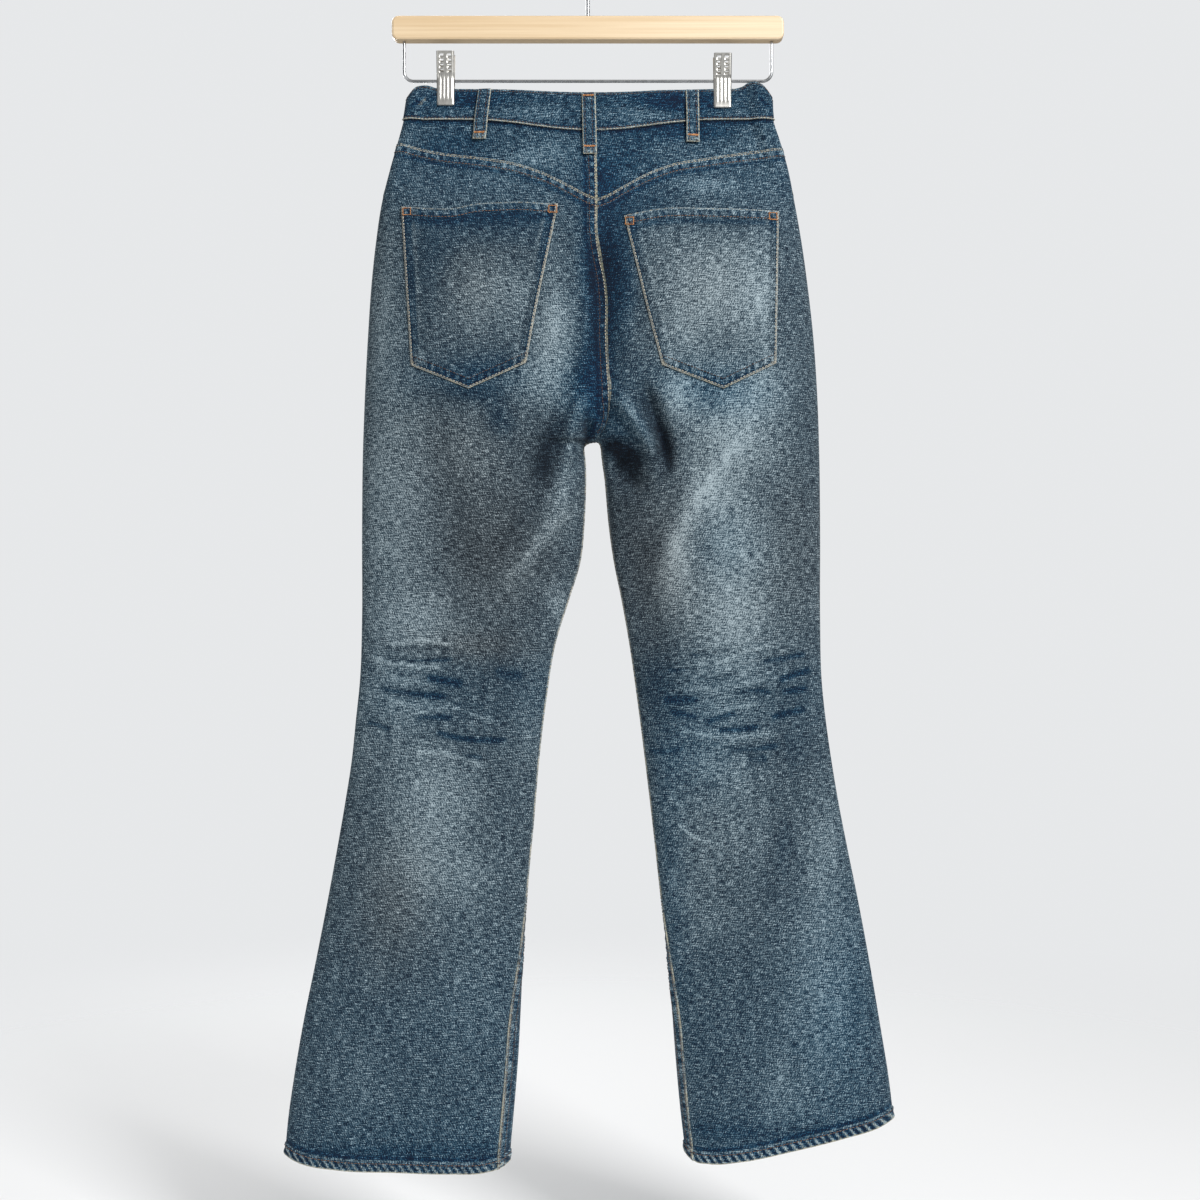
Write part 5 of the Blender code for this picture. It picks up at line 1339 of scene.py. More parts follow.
def loop_cloth(loop):
    """A folded strip over the waistband, its ends turned under and tacked down."""
    steps = np.linspace(0.0, 1.0, 64)
    across = np.linspace(-0.5, 0.5, 19)
    middle = loop.x_top + (loop.x_low - loop.x_top) * steps
    x = middle[:, None] + LOOP_WIDTH * across[None, :]
    length = loop.z_top - loop.z_low
    z = loop.z_top - length * steps[:, None] + 0 * x
    side = "left" if loop.x_top < 0 else "right"
    on_band = WAISTBAND_WALL + SEAM_GAP
    on_cloth = DENIM + 0.8 + (SEAM_EXTRA if loop.name == "loop_back_centre" else 0.0)
    seam = waist_seam_z(loop.face, x, np.abs(x - outer_edge(side, z)))
    settle = smoothstep(seam - 2.0, loop.z_low + 3.0, z)
    lift = on_band + (on_cloth - on_band) * settle + LOOP_WALL
    lift = lift + LOOP_BOW * np.sin(math.pi * steps)[:, None] ** 2
    from_top = z - loop.z_top
    from_low = z - loop.z_low
    edge = np.abs(across)[None, :] * LOOP_WIDTH
    lift = lift - 0.8 * smoothstep(LOOP_WIDTH / 2 - 1.3, LOOP_WIDTH / 2, edge) ** 2
    lift = lift + 0.7 * smoothstep(LOOP_TAB + 0.8, LOOP_TAB - 0.8, from_low)
    lift = lift - 0.8 * smoothstep(1.2, 0.0, from_low) - 0.5 * smoothstep(-1.2, 0.0, from_top)
    rows = bell(edge, 3.6, 0.7)
    lift = lift - 0.3 * rows + 0.12 * pucker(z * 1.3 + x) * smoothstep(6.4, 4.4, edge)
    halves = [cloth_point(half, loop.face, x, z, lift) for half in ("left", "right")]
    on_left = (x < inner_edge("left", loop.face, z))[..., None]
    points, n = (np.where(on_left, *pair) for pair in zip(*halves))
    fade = 0.34 + 0.30 * smoothstep(4.6, 6.4, edge) - 0.20 * rows + 0.10 * pucker(z + 7.0)
    fade = fade + 0.12 * smoothstep(LOOP_TAB + 1.0, LOOP_TAB - 1.0, from_low)
    fade = fade - 0.14 * bell(from_low - LOOP_TAB, 0.6, 1.0)
    worn = smoothstep(5.0, 6.1, edge) * (0.72 + 0.28 * pucker(z * 1.9 + x * 0.2))
    lumps = 0.5 + 0.5 * pucker(x * 2.3 + 4.0)
    worn = np.maximum(worn, 0.55 * smoothstep(LOOP_TAB + 0.5, LOOP_TAB - 1.5, from_low) * lumps)
    worn = np.maximum(worn, 0.8 * smoothstep(1.6, 0.2, from_low))
    plain = np.zeros(x.shape)
    return Cloth(points, n, plain + LOOP_WALL, fade + plain, worn + plain, plain)


def line_side(point, start, end):
    """Distance of points from a straight line, in the plane of the photograph."""
    dx, dz = end[0] - start[0], end[1] - start[1]
    return np.abs((point[0] - start[0]) * dz - (point[1] - start[1]) * dx) / math.hypot(dx, dz)


def pocket_grid(side):
    """x and z of a pocket's points, and their distances from its top, sides and foot."""
    pocket = POCKETS[side]
    outer, inner = np.array(pocket.outer_top), np.array(pocket.inner_top)
    low_outer, low_inner = np.array(pocket.outer_low), np.array(pocket.inner_low)
    tip = np.array(pocket.point)
    knee = (tip[0] - low_outer[0]) / (low_inner[0] - low_outer[0])
    even = np.linspace(0.0, 1.0, 48)
    u = np.concatenate([knee * even**1.7, (1 - (1 - knee) * (1 - even) ** 1.7)[1:]])
    down = np.linspace(0.0, 1.0, 104)
    v = down - 0.125 * np.sin(2 * math.pi * down)
    top = outer + (inner - outer) * u[:, None]
    top[:, 1] += along(POCKET_TOP, side, u, "across")
    foot = np.where(
        (u <= knee)[:, None],
        low_outer + (tip - low_outer) * (u / knee)[:, None],
        tip + (low_inner - tip) * ((u - knee) / (1 - knee))[:, None],
    )
    grid = top[None] + (foot - top)[None] * v[:, None, None]
    x, z = grid[..., 0], grid[..., 1]
    place = (x, z)
    from_top = top[None, :, 1] - z
    from_side = np.minimum(line_side(place, outer, low_outer), line_side(place, inner, low_inner))
    from_foot = np.where(u[None] <= knee, line_side(place, low_outer, tip),
                         line_side(place, tip, low_inner))
    return x, z, from_top, from_side, from_foot


def pocket_cloth(side):
    """A patch pocket: its top turned down and sewn, its sides and V foot turned in."""
    x, z, from_top, from_side, from_foot = pocket_grid(side)
    edge = np.minimum(from_side, from_foot)
    lift = DENIM + SEAM_GAP + DENIM + small_relief("back", x, z)
    hem = smoothstep(POCKET_HEM + 0.6, POCKET_HEM - 0.6, from_top)
    turned = smoothstep(10.5, 9.0, edge)
    inside = smoothstep(2.0, 26.0, np.minimum(edge, from_top))
    gathers = pucker(x + 0.4 * z)
    lift = lift + 0.8 * hem + 0.35 * turned + 1.3 * inside
    lift = lift + 0.35 * gathers * window(from_top, 2.4, POCKET_HEM - 2.0, 1.2)
    lift = lift + 0.18 * pucker(z + x * 0.3) * window(edge, 2.4, 8.0, 1.2)
    rows = bell(edge, EDGE_ROW, 0.7) + bell(edge, SECOND_ROW, 0.9)
    rows = rows + bell(from_top - POCKET_HEM, -1.0, 0.7)
    lift = lift - 0.28 * rows - 0.6 * smoothstep(1.2, 0.0, edge) ** 2
    lift = lift - 0.5 * smoothstep(1.2, 0.0, from_top) ** 2
    points, n = cloth_point(side, "back", x, z, lift)
    fade = fading("back", POCKET_FADES, x, z, base=0.34)
    pale_edge = bell(edge, 0.0, 1.2)
    foot_gathers = pucker(x * 1.2 + 2.0) * window(from_foot, 2.6, 7.6, 1.0)
    fade = fade + 0.34 * foot_gathers - 0.20 * bell(edge, 2.6, 0.9)
    fade = fade + 0.18 * pale_edge - 0.10 * bell(edge, 4.4, 2.2)
    fade = fade + 0.28 * gathers * window(from_top, 2.0, POCKET_HEM - 1.4, 1.4)
    fade = fade + 0.30 * bell(from_top, 0.0, 1.6)
    # Painted shadow just under the turned-down hem.
    fade = fade - 0.15 * bell(from_top - POCKET_HEM, 3.4, 3.0)
    fade = fade - 0.12 * rows
    fade = fade + 0.16 * window(from_side, 10.0, 12.6, 0.8) * (0.6 + 0.4 * pucker(z * 0.7))
    from_corner = np.hypot(from_side - 9.0, from_foot - 9.5)
    fade = fade + 0.22 * bell(from_corner, 0.0, 5.0)
    worn = 1.1 * pale_edge * (0.78 + 0.22 * pucker(z * 1.6 + x))
    worn = np.maximum(worn, 0.9 * bell(from_top, 0.0, 1.3) * (0.6 + 0.4 * pucker(x * 1.4)))
    corner = bell(np.hypot(from_side, from_foot), 0.0, 7.0)
    worn = np.maximum(worn, 0.6 * corner)
    plain = np.zeros(x.shape)
    return Cloth(points, n, plain + DENIM, fade, worn, plain)


# Thread
def stitches_along(points, n, pitch=STITCH_PITCH, sunk=0.12):
    """Places, directions and normals of the stitches of one row."""
    steps = np.linalg.norm(np.diff(points, axis=0), axis=-1)
    run = np.append(0.0, np.cumsum(steps))
    count = int(run[-1] / pitch)
    if count < 1:
        return np.zeros((0, 3, 3))
    middle = (np.arange(count) + 0.5) * run[-1] / count

    def take(grid, at):
        return np.stack([np.interp(at, run, grid[:, k]) for k in range(3)], -1)

    ahead = take(points, middle + 0.8) - take(points, middle - 0.8)
    ahead /= np.linalg.norm(ahead, axis=-1, keepdims=True)
    up = take(n, middle)
    up -= ahead * (up * ahead).sum(-1, keepdims=True)
    up /= np.linalg.norm(up, axis=-1, keepdims=True)
    place = take(points, middle) + up * (STITCH_RADIUS - sunk)
    return np.stack([place, ahead, up], axis=1)


def thread(name, rows, finish, length):
    """All the stitches of one thread, each a slim bead of yarn."""
    beads = bpy.data.meshes.new(name)
    with edited(beads) as shape:
        bmesh.ops.create_uvsphere(shape, u_segments=6, v_segments=4, radius=1.0)
    bead = np.array([tuple(v.co) for v in beads.vertices])
    faces = [tuple(p.vertices) for p in beads.polygons]
    places = np.concatenate(rows)
    ahead, up = places[:, 1], places[:, 2]
    aside = np.cross(ahead, up)
    half = np.array([STITCH_RADIUS, STITCH_RADIUS * 0.8, length / 2])
    local = bead * half
    points = (places[:, None, 0] + aside[:, None] * local[None, :, :1]
              + up[:, None] * local[None, :, 1:2] + ahead[:, None] * local[None, :, 2:])
    count = len(bead)
    every = [tuple(i + k * count for i in face) for k in range(len(places)) for face in faces]
    beads.clear_geometry()
    beads.from_pydata((points.reshape(-1, 3) * MM).tolist(), [], every)
    with edited(beads) as shape:
        bmesh.ops.recalc_face_normals(shape, faces=shape.faces)
    beads.shade_smooth()
    beads.materials.append(finish)
    return dress(placed(name, beads), "denim")


def row_at(cloth, away, distance, lines=slice(None)):
    """The line on a cloth's surface at a distance from an edge, one point for each of its lines."""
    found, up = [], []
    for line, n, gap in zip(cloth.points[lines], cloth.normals[lines], away[lines]):
        past = np.nonzero(np.diff(np.sign(gap - distance)) != 0)[0]
        if not len(past):
            continue
        i = past[0]
        t = (distance - gap[i]) / (gap[i + 1] - gap[i])
        found.append(line[i] + (line[i + 1] - line[i]) * t)
        up.append(n[i])
    return np.array(found).reshape(-1, 3), np.array(up).reshape(-1, 3)


def turned_grid(cloth):
    """The same cloth with its rows and columns exchanged."""
    return Cloth(*(grid.swapaxes(0, 1) for grid in cloth))


def sew_row(rows, yarn, cloth, away, distance, lines=slice(None)):
    """One row of stitches on a cloth, at a distance from an edge."""
    rows[yarn].append(stitches_along(*row_at(cloth, away, distance, lines)))


def nearest(cloth, x, z):
    """The cloth's surface nearest to places seen from behind, with its normals."""
    flat = cloth.points.reshape(-1, 3)
    found = [np.argmin((flat[:, 0] - a) ** 2 + (flat[:, 2] - b) ** 2) for a, b in zip(x, z)]
    points = flat[found].copy()
    points[:, 0], points[:, 2] = x, z
    return points, cloth.normals.reshape(-1, 3)[found]


def box_tack(cloth, x, z, width, height):
    """A box of close stitches, drawn once round."""
    corners = [(0, 0), (1, 0), (1, -1), (0, -1), (0, 0)]
    even = np.linspace(0.0, 4.0, 57)
    xs = x + width * np.interp(even, range(5), [corner[0] for corner in corners])
    zs = z + height * np.interp(even, range(5), [corner[1] for corner in corners])
    points, n = nearest(cloth, xs, zs)
    return stitches_along(points, n, 1.5, 0.0)


# Materials
def linear(red, green, blue):
    """A colour as measured on a screen, 0 to 255, made linear."""
    made = [c / 12.92 if c <= 0.04045 else ((c + 0.055) / 1.055) ** 2.4
            for c in (red / 255, green / 255, blue / 255)]
    return (*made, 1.0)


def new_material(name):
    made = bpy.data.materials.new(name)
    made.use_nodes = True
    return made, made.node_tree, made.node_tree.nodes["Principled BSDF"]


def add(tree, kind, settings=None, **inputs):
    """A node with its settings and its fixed or linked inputs."""
    node = tree.nodes.new(kind)
    for key, value in (settings or {}).items():
        setattr(node, key, value)
    for key, value in inputs.items():
        socket = node.inputs[int(key[1:])] if key[0] == "i" and key[1:].isdigit() else node.inputs[key]
        if isinstance(value, bpy.types.NodeSocket):
            tree.links.new(value, socket)
        else:
            socket.default_value = value
    return node


def math_node(tree, operation, first, second=0.0, third=0.0, clamp=False):
    node = add(tree, "ShaderNodeMath", {"operation": operation, "use_clamp": clamp},
               i0=first, i1=second, i2=third)
    return node.outputs[0]


def stretched_noise(tree, place, across, up, detail=3.0):
    """Noise whose grain is so many metres wide and high, about 0 to 1."""
    mapping = add(tree, "ShaderNodeMapping", Vector=place, Scale=(1 / across, 1 / up, 1.0))
    noise = add(tree, "ShaderNodeTexNoise", Vector=mapping.outputs[0], Scale=1.0, Detail=detail,
                Roughness=0.6)
    return noise.outputs["Fac"]


def painted(tree, label):
    """One of the values that the cloth's points carry."""
    return add(tree, "ShaderNodeAttribute", {"attribute_name": label}).outputs["Fac"]


def two_tone(tree, factor, low, dark, high, pale):
    """A colour from the dark tone, at the low factor, to the pale one."""
    ramp = add(tree, "ShaderNodeValToRGB", Fac=factor)
    for element, position, tone in zip(ramp.color_ramp.elements, (low, high), (dark, pale)):
        element.position = position
        element.color = linear(*tone)
    return ramp.outputs[0]


DYE = [(0.0, (12, 27, 42)), (0.18, (30, 48, 63)), (0.36, (54, 73, 85)), (0.56, (80, 98, 108)),
       (0.76, (112, 129, 138)), (1.0, (168, 184, 191))]
WORN_YARN = (186, 181, 166)
YARNS = {"ecru": (216, 208, 188), "copper": (134, 100, 76), "brown": (92, 66, 52),
         "orange": (222, 150, 84)}


Weave = namedtuple("Weave", "name across up detail")
WEAVES = [  # how wide and high the cloth's unevenness is, in metres
    Weave("warp", 0.0009, 0.0055, 2.0),
    Weave("weft", 0.0080, 0.0009, 2.0),
    Weave("speck", 0.0010, 0.0009, 2.0),
    Weave("cloud", 0.022, 0.028, 4.0),
    Weave("slub", 0.0030, 0.045, 1.0),
]
WEAVE_SHARES = {"warp": 1.6, "weft": 2.5, "speck": 2.4, "slub": 0.35, "twill": 0.26, "cloud": 0.26}
WEAVE_MIDDLE = 3.555  # what they add together where each is at its middle
TWILL_LEAN = -32
TWILL_SCALE = 314.0 / 2.1
SHADE = (0.10, 0.14, 0.19, 1.0)
SHEEN = (196, 208, 212)


def denim_material(name, paler=0.0):
    """Indigo warp over ecru weft: a right-hand twill, faded where the cloth is rubbed."""
    made, tree, shader = new_material(name)
    place = add(tree, "ShaderNodeUVMap", {"uv_map": "cloth"}).outputs[0]
    fade = painted(tree, "fade")
    worn = painted(tree, "worn")
    parts = {weave.name: stretched_noise(tree, place, *weave[1:]) for weave in WEAVES}
    rib = add(tree, "ShaderNodeMapping", Vector=place, Rotation=(0.0, 0.0, math.radians(TWILL_LEAN)))
    twill = add(tree, "ShaderNodeTexWave", {"wave_type": "BANDS", "bands_direction": "X"},
                Vector=rib.outputs[0], Scale=TWILL_SCALE, Distortion=5.0, Detail=1.0)
    twill.inputs["Detail Scale"].default_value = 0.9
    parts["twill"] = twill.outputs["Fac"]

    total = fade
    for part, share in WEAVE_SHARES.items():
        total = math_node(tree, "MULTIPLY_ADD", parts[part], share, total)
    total = math_node(tree, "ADD", total, paler - 0.15 - WEAVE_MIDDLE, clamp=True)
    ramp = add(tree, "ShaderNodeValToRGB", Fac=total)
    tones = ramp.color_ramp.elements
    while len(tones) < len(DYE):
        tones.new(0.5)
    for element, (position, colour) in zip(tones, DYE):
        element.position = position
        element.color = linear(*colour)

    fray = stretched_noise(tree, place, 0.0016, 0.0016)
    fray = math_node(tree, "MULTIPLY_ADD", fray, 2.6, -1.55)
    bare = math_node(tree, "ADD", math_node(tree, "MULTIPLY", worn, 1.25), fray, clamp=True)
    bare = math_node(tree, "MULTIPLY", bare, math_node(tree, "MULTIPLY", worn, 1.6, clamp=True))
    mix = add(tree, "ShaderNodeMix", {"data_type": "RGBA"}, Factor=bare, A=ramp.outputs[0],
              B=linear(*WORN_YARN))
    # Painted shade: the colour is multiplied towards SHADE by each point's painted shade value.
    dull = painted(tree, "dull")
    shaded = add(tree, "ShaderNodeMix", {"data_type": "RGBA", "blend_type": "MULTIPLY"}, B=SHADE)
    tree.links.new(math_node(tree, "MULTIPLY", dull, 1.0, clamp=True), shaded.inputs["Factor"])
    tint = painted(tree, "tint")
    bluer = add(tree, "ShaderNodeHueSaturation", Color=mix.outputs["Result"],
                Saturation=math_node(tree, "ADD", tint, 1.0),
                Hue=math_node(tree, "MULTIPLY_ADD", tint, 0.018, 0.5))
    tree.links.new(bluer.outputs[0], shaded.inputs["A"])
    tree.links.new(shaded.outputs["Result"], shader.inputs["Base Color"])

    height = math_node(tree, "MULTIPLY_ADD", parts["twill"], 0.45, parts["speck"])
    height = math_node(tree, "MULTIPLY_ADD", parts["warp"], 0.5, height)
    bump = add(tree, "ShaderNodeBump", Height=height, Strength=0.75, Distance=0.00045)
    tree.links.new(bump.outputs[0], shader.inputs["Normal"])
    shader.inputs["Roughness"].default_value = 0.88
    shader.inputs["Specular IOR Level"].default_value = 0.22
    shader.inputs["Sheen Weight"].default_value = 0.22
    shader.inputs["Sheen Roughness"].default_value = 0.45
    shader.inputs["Sheen Tint"].default_value = linear(*SHEEN)
    return made


def yarn_material(name, colour):
    """Sewing thread: matt, a little uneven in its dye."""
    made, tree, shader = new_material(name)
    place = add(tree, "ShaderNodeTexCoord").outputs["Object"]
    noise = stretched_noise(tree, place, 0.004, 0.004, 2.0)
    tone = two_tone(tree, noise, 0.3, [0.72 * c for c in colour], 0.7, colour)
    tree.links.new(tone, shader.inputs["Base Color"])
    shader.inputs["Roughness"].default_value = 0.7
    shader.inputs["Sheen Weight"].default_value = 0.2
    return made


def wood_material():
    """Pale varnished beech, its grain running along the bar."""
    made, tree, shader = new_material("pale_wood")
    place = add(tree, "ShaderNodeTexCoord").outputs["Object"]
    fibres = add(tree, "ShaderNodeMapping", Vector=place, Scale=(5.0, 330.0, 330.0))
    grain = add(tree, "ShaderNodeTexNoise", Vector=fibres.outputs[0], Scale=1.0, Detail=5.0)
    rings = add(tree, "ShaderNodeMapping", Vector=place, Scale=(2.2, 60.0, 60.0))
    broad = add(tree, "ShaderNodeTexNoise", Vector=rings.outputs[0], Scale=1.0, Detail=2.0)
    both = math_node(tree, "MULTIPLY_ADD", broad.outputs["Fac"], 0.6,
                     math_node(tree, "MULTIPLY", grain.outputs["Fac"], 0.5))
    tone = two_tone(tree, both, 0.38, (214, 184, 142), 0.72, (240, 219, 186))
    tree.links.new(tone, shader.inputs["Base Color"])
    bump = add(tree, "ShaderNodeBump", Height=grain.outputs["Fac"], Strength=0.15, Distance=0.0003)
    tree.links.new(bump.outputs[0], shader.inputs["Normal"])
    shader.inputs["Roughness"].default_value = 0.42
    shader.inputs["Coat Weight"].default_value = 0.25
    shader.inputs["Coat Roughness"].default_value = 0.3
    return made


def metal_material(name, colour, roughness):
    """Plated steel, brushed or drawn, a little uneven."""
    made, tree, shader = new_material(name)
    place = add(tree, "ShaderNodeTexCoord").outputs["Object"]
    noise = stretched_noise(tree, place, 0.006, 0.006, 4.0)
    tone = two_tone(tree, noise, 0.25, [0.86 * c for c in colour], 0.75, colour)
    tree.links.new(tone, shader.inputs["Base Color"])
    rough = add(tree, "ShaderNodeMapRange", Value=noise)
    rough.inputs["To Min"].default_value = roughness - 0.05
    rough.inputs["To Max"].default_value = roughness + 0.08
    tree.links.new(rough.outputs[0], shader.inputs["Roughness"])
    shader.inputs["Metallic"].default_value = 1.0
    return made


# Hanger
def wire_curve(name, route, radius, finish, slot):
    """A round wire along a route of points in millimetres."""
    curve = bpy.data.curves.new(name, "CURVE")
    curve.dimensions = "3D"
    curve.bevel_depth = radius * MM
    curve.bevel_resolution = 6
    curve.use_fill_caps = True
    spline = curve.splines.new("POLY")
    spline.points.add(len(route) - 1)
    for point, place in zip(spline.points, route):
        point.co = (*(value * MM for value in place), 1.0)
    spline.use_smooth = True
    curve.materials.append(finish)
    return dress(placed(name, curve), slot)


def arc(centre_x, centre_z, radius, start, end, steps):
    """Points of an arc in the XZ plane, angles in degrees from +X towards +Z."""
    return [
        (centre_x + radius * math.cos(math.radians(a)), 0.0,
         centre_z + radius * math.sin(math.radians(a)))
        for a in np.linspace(start, end, steps)
    ]


def hanger_hook(steel):
    """The hook: a shank out of the bar, bent aside and round over the origin."""
    eye_z = HOOK_RADIUS - HOOK_EYE
    bend = HOOK_BEND
    spoke = math.degrees(math.acos((bend - BAR_X) / (HOOK_EYE + bend)))
    join_x = HOOK_EYE * math.cos(math.radians(spoke))
    join_z = eye_z - HOOK_EYE * math.sin(math.radians(spoke))
    bend_x = BAR_X + bend
    bend_z = join_z - bend * math.sin(math.radians(spoke))
    route = [(BAR_X, 0.0, BAR_TOP_Z - HOOK_SOCKET + SEAM_GAP), (BAR_X, 0.0, bend_z - 6)]
    route += arc(bend_x, bend_z, bend, 180, 180 - spoke, 19)[:-1]
    shift = bend_x - bend * math.cos(math.radians(spoke)) - join_x
    eye = arc(0.0, eye_z, HOOK_EYE, -spoke, 205, 76)
    route += [(x + shift * max(0.0, 1 - i / 30), y, z) for i, (x, y, z) in enumerate(eye)]
    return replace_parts(wire_curve("hook_wire", route, HOOK_RADIUS, steel, "steel"), "hanger_hook")


def hanger_frame(steel):
    """The U-shaped wire under the bar, which carries the clips."""
    top = BAR_TOP_Z - BAR_HEIGHT + WIRE_SOCKET - SEAM_GAP
    left, right = BAR_X - WIRE_REACH, BAR_X + WIRE_REACH
    low = WIRE_Z + WIRE_BEND
    route = [(left, 0.0, top)]
    route += arc(left + WIRE_BEND, low, WIRE_BEND, 180, 270, 19)
    route += arc(right - WIRE_BEND, low, WIRE_BEND, 270, 360, 19)
    route += [(right, 0.0, top)]
    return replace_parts(wire_curve("frame_wire", route, WIRE_RADIUS, steel, "steel"), "hanger_wire")


JAW_COLUMNS = [-8.7, -8.3, -7.6, -6.4, -5.6, -4.8, -3.6, -2.7, -1.9, -1.1,
               1.1, 1.9, 2.7, 3.6, 4.8, 5.6, 6.4, 7.6, 8.3, 8.7]
RIB_COLUMNS = (-5.6, -1.9, 1.9, 5.6)
SLOT_SPANS = ((-5.6, -1.9), (1.9, 5.6))
SLOT_ROWS = 4
SLOT_TOP = 2.6
SLOT_HEIGHT = 2.7
SLOT_PITCH = 4.9


def clip_jaw(clip, face, nickel):
    """A pressed plate: two columns of slots in its bent thumb tab, ribs down to a plain lip."""
    sign = OUTWARD[face]
    jaw = WAIST_PRESSED + WAISTBAND_WALL + SEAM_GAP
    heights = [clip.top_z, clip.top_z - 0.8]
    slot_tops = [clip.top_z - SLOT_TOP - row * SLOT_PITCH for row in range(SLOT_ROWS)]
    for top in slot_tops:
        heights += [top, top - SLOT_HEIGHT / 2, top - SLOT_HEIGHT]
    bend = heights[-1] - 1.2
    heights += [bend, bend - 1.4, bend - 3.0]
    heights += list(np.linspace(bend - 5.0, clip.low_z + 7.0, 9))
    heights += [clip.low_z + 5.6, clip.low_z + 4.6, clip.low_z + 2.4, clip.low_z + 0.8, clip.low_z]
    z = np.array(heights)
    x = np.array(JAW_COLUMNS)
    lean = np.interp(-z, [-clip.top_z, -bend, 140.0, 300.0], [CLIP_FLARE, jaw + 1.0, jaw, jaw])
    away = lean[:, None] + CLIP_WALL + 0 * x[None, :]
    ribbed = window(z, clip.low_z + 5.6, bend - 1.4, 0.8)
    for rib in RIB_COLUMNS:
        away += 0.75 * ribbed[:, None] * bell(x, rib, 0.55)[None, :]
    away -= 1.3 * smoothstep(7.8, 8.7, np.abs(x))[None, :]
    away += 0.5 * smoothstep(1.0, 0.0, z - clip.low_z)[:, None]
    points = np.stack([clip.x + x[None, :] + 0 * away, sign * away, z[:, None] + 0 * away], -1)
    rows, columns = away.shape
    name = f"{clip.name}_{'outer' if face == 'back' else 'inner'}"
    n = grid_normals(points, (0, sign, 0))
    blank = np.zeros(away.shape)
    obj = sew_grid(name, Cloth(points, n, blank + CLIP_WALL, blank, blank, blank), [nickel])

    def in_slot(centre):
        across, up = centre.x / MM - clip.x, centre.z / MM
        in_column = any(low < across < high for low, high in SLOT_SPANS)
        return in_column and any(top - SLOT_HEIGHT < up < top for top in slot_tops)

    holes = [polygon.index for polygon in obj.data.polygons if in_slot(polygon.center)]
    with edited(obj.data) as shape:
        shape.faces.ensure_lookup_table()
        bmesh.ops.delete(shape, geom=[shape.faces[i] for i in holes], context="FACES")
    return dress(obj, "nickel", f"{name}_jaw")


def clip_spring(clip, steel):
    """Six turns of wire round the frame, an end reaching out beside the jaw."""
    coil = []
    for s in np.linspace(0.0, 1.0, SPRING_TURNS * 18):
        turn = 2 * math.pi * SPRING_TURNS * s
        coil.append((clip.x - SPRING_LENGTH / 2 + SPRING_LENGTH * s, SPRING_RADIUS * math.cos(turn),
                     WIRE_Z + SPRING_RADIUS * math.sin(turn)))
    end = coil[-1]
    out = [(end[0] + 3.0, end[1] - 1.0, end[2]), (end[0] + 6.2, end[1] - 2.2, end[2] - 1.2)]
    sign = -1 if clip.x > 0 else 1
    route = [(clip.x + sign * (x - clip.x), y, z) for x, y, z in coil + out]
    obj = wire_curve(f"{clip.name}_coil", route, SPRING_WIRE, steel, "steel")
    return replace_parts(obj, f"{clip.name}_spring")


def waist_button(nickel):
    """A domed button with a rolled rim and a ring round its middle."""
    place = (BUTTON_X, BUTTON_FROM_SIDE)
    z = (waist_top_z("front", "left", *place) + waist_seam_z("front", *place)) / 2
    base = waist_half("left", BUTTON_FROM_SIDE) + TAB_LIFT + WAISTBAND_WALL + SEAM_GAP
    turn = np.linspace(0.0, 2 * math.pi, 49)
    radius, rise = (np.array(values)[:, None] for values in zip(*BUTTON_PROFILE))
    points = np.stack([BUTTON_X + radius * np.cos(turn), base + rise + 0 * turn,
                       z + radius * np.sin(turn)], -1)
    blank = np.zeros(points.shape[:2])
    n = grid_normals(points, (0, 1, 0))
    obj = sew_grid("button_on_waistband", Cloth(points, n, blank + 1.0, blank, blank, blank), [nickel])
    obj.modifiers.clear()
    with edited(obj.data) as shape:
        bmesh.ops.remove_doubles(shape, verts=shape.verts, dist=0.05 * MM)
        open_edges = [edge for edge in shape.edges if edge.is_boundary]
        bmesh.ops.holes_fill(shape, edges=open_edges, sides=64)
        bmesh.ops.recalc_face_normals(shape, faces=shape.faces)
    obj.data.shade_smooth()
    return dress(obj, "button", "waist_button")


# Studio
def room_light():
    """A pale room, lighter where the window is: in front of the garment's back, to the right."""
    world = bpy.data.worlds.new("room")
    world.use_nodes = True
    tree = world.node_tree
    background = tree.nodes["Background"]
    towards = add(tree, "ShaderNodeTexCoord").outputs["Generated"]
    facing = add(tree, "ShaderNodeVectorMath", {"operation": "DOT_PRODUCT"}, i0=towards,
                 i1=WINDOW_WAY).outputs["Value"]
    glow = math_node(tree, "POWER", math_node(tree, "MAXIMUM", facing, 0.0), 2.0)
    glow = math_node(tree, "MULTIPLY_ADD", glow, WINDOW_GLOW, ROOM_LEVEL)
    seen = add(tree, "ShaderNodeLightPath").outputs["Is Camera Ray"]
    level = add(tree, "ShaderNodeMix", {"data_type": "FLOAT"}, Factor=seen, A=glow, B=WALL_LEVEL)
    background.inputs["Color"].default_value = ROOM_COLOUR
    tree.links.new(level.outputs["Result"], background.inputs["Strength"])
    bpy.context.scene.world = world


def lamp(name, place, size, power):
    """A soft square lamp that faces the middle of the garment."""
    light = bpy.data.lights.new(name, "AREA")
    light.size = size
    light.energy = power
    made = placed(name, light)
    made.location = place
    way = np.array(LIT_MIDDLE) - np.array(place)
    made.rotation_euler = (math.atan2(math.hypot(way[0], way[1]), -way[2]), 0.0,
                           math.atan2(way[1], way[0]) - math.pi / 2)


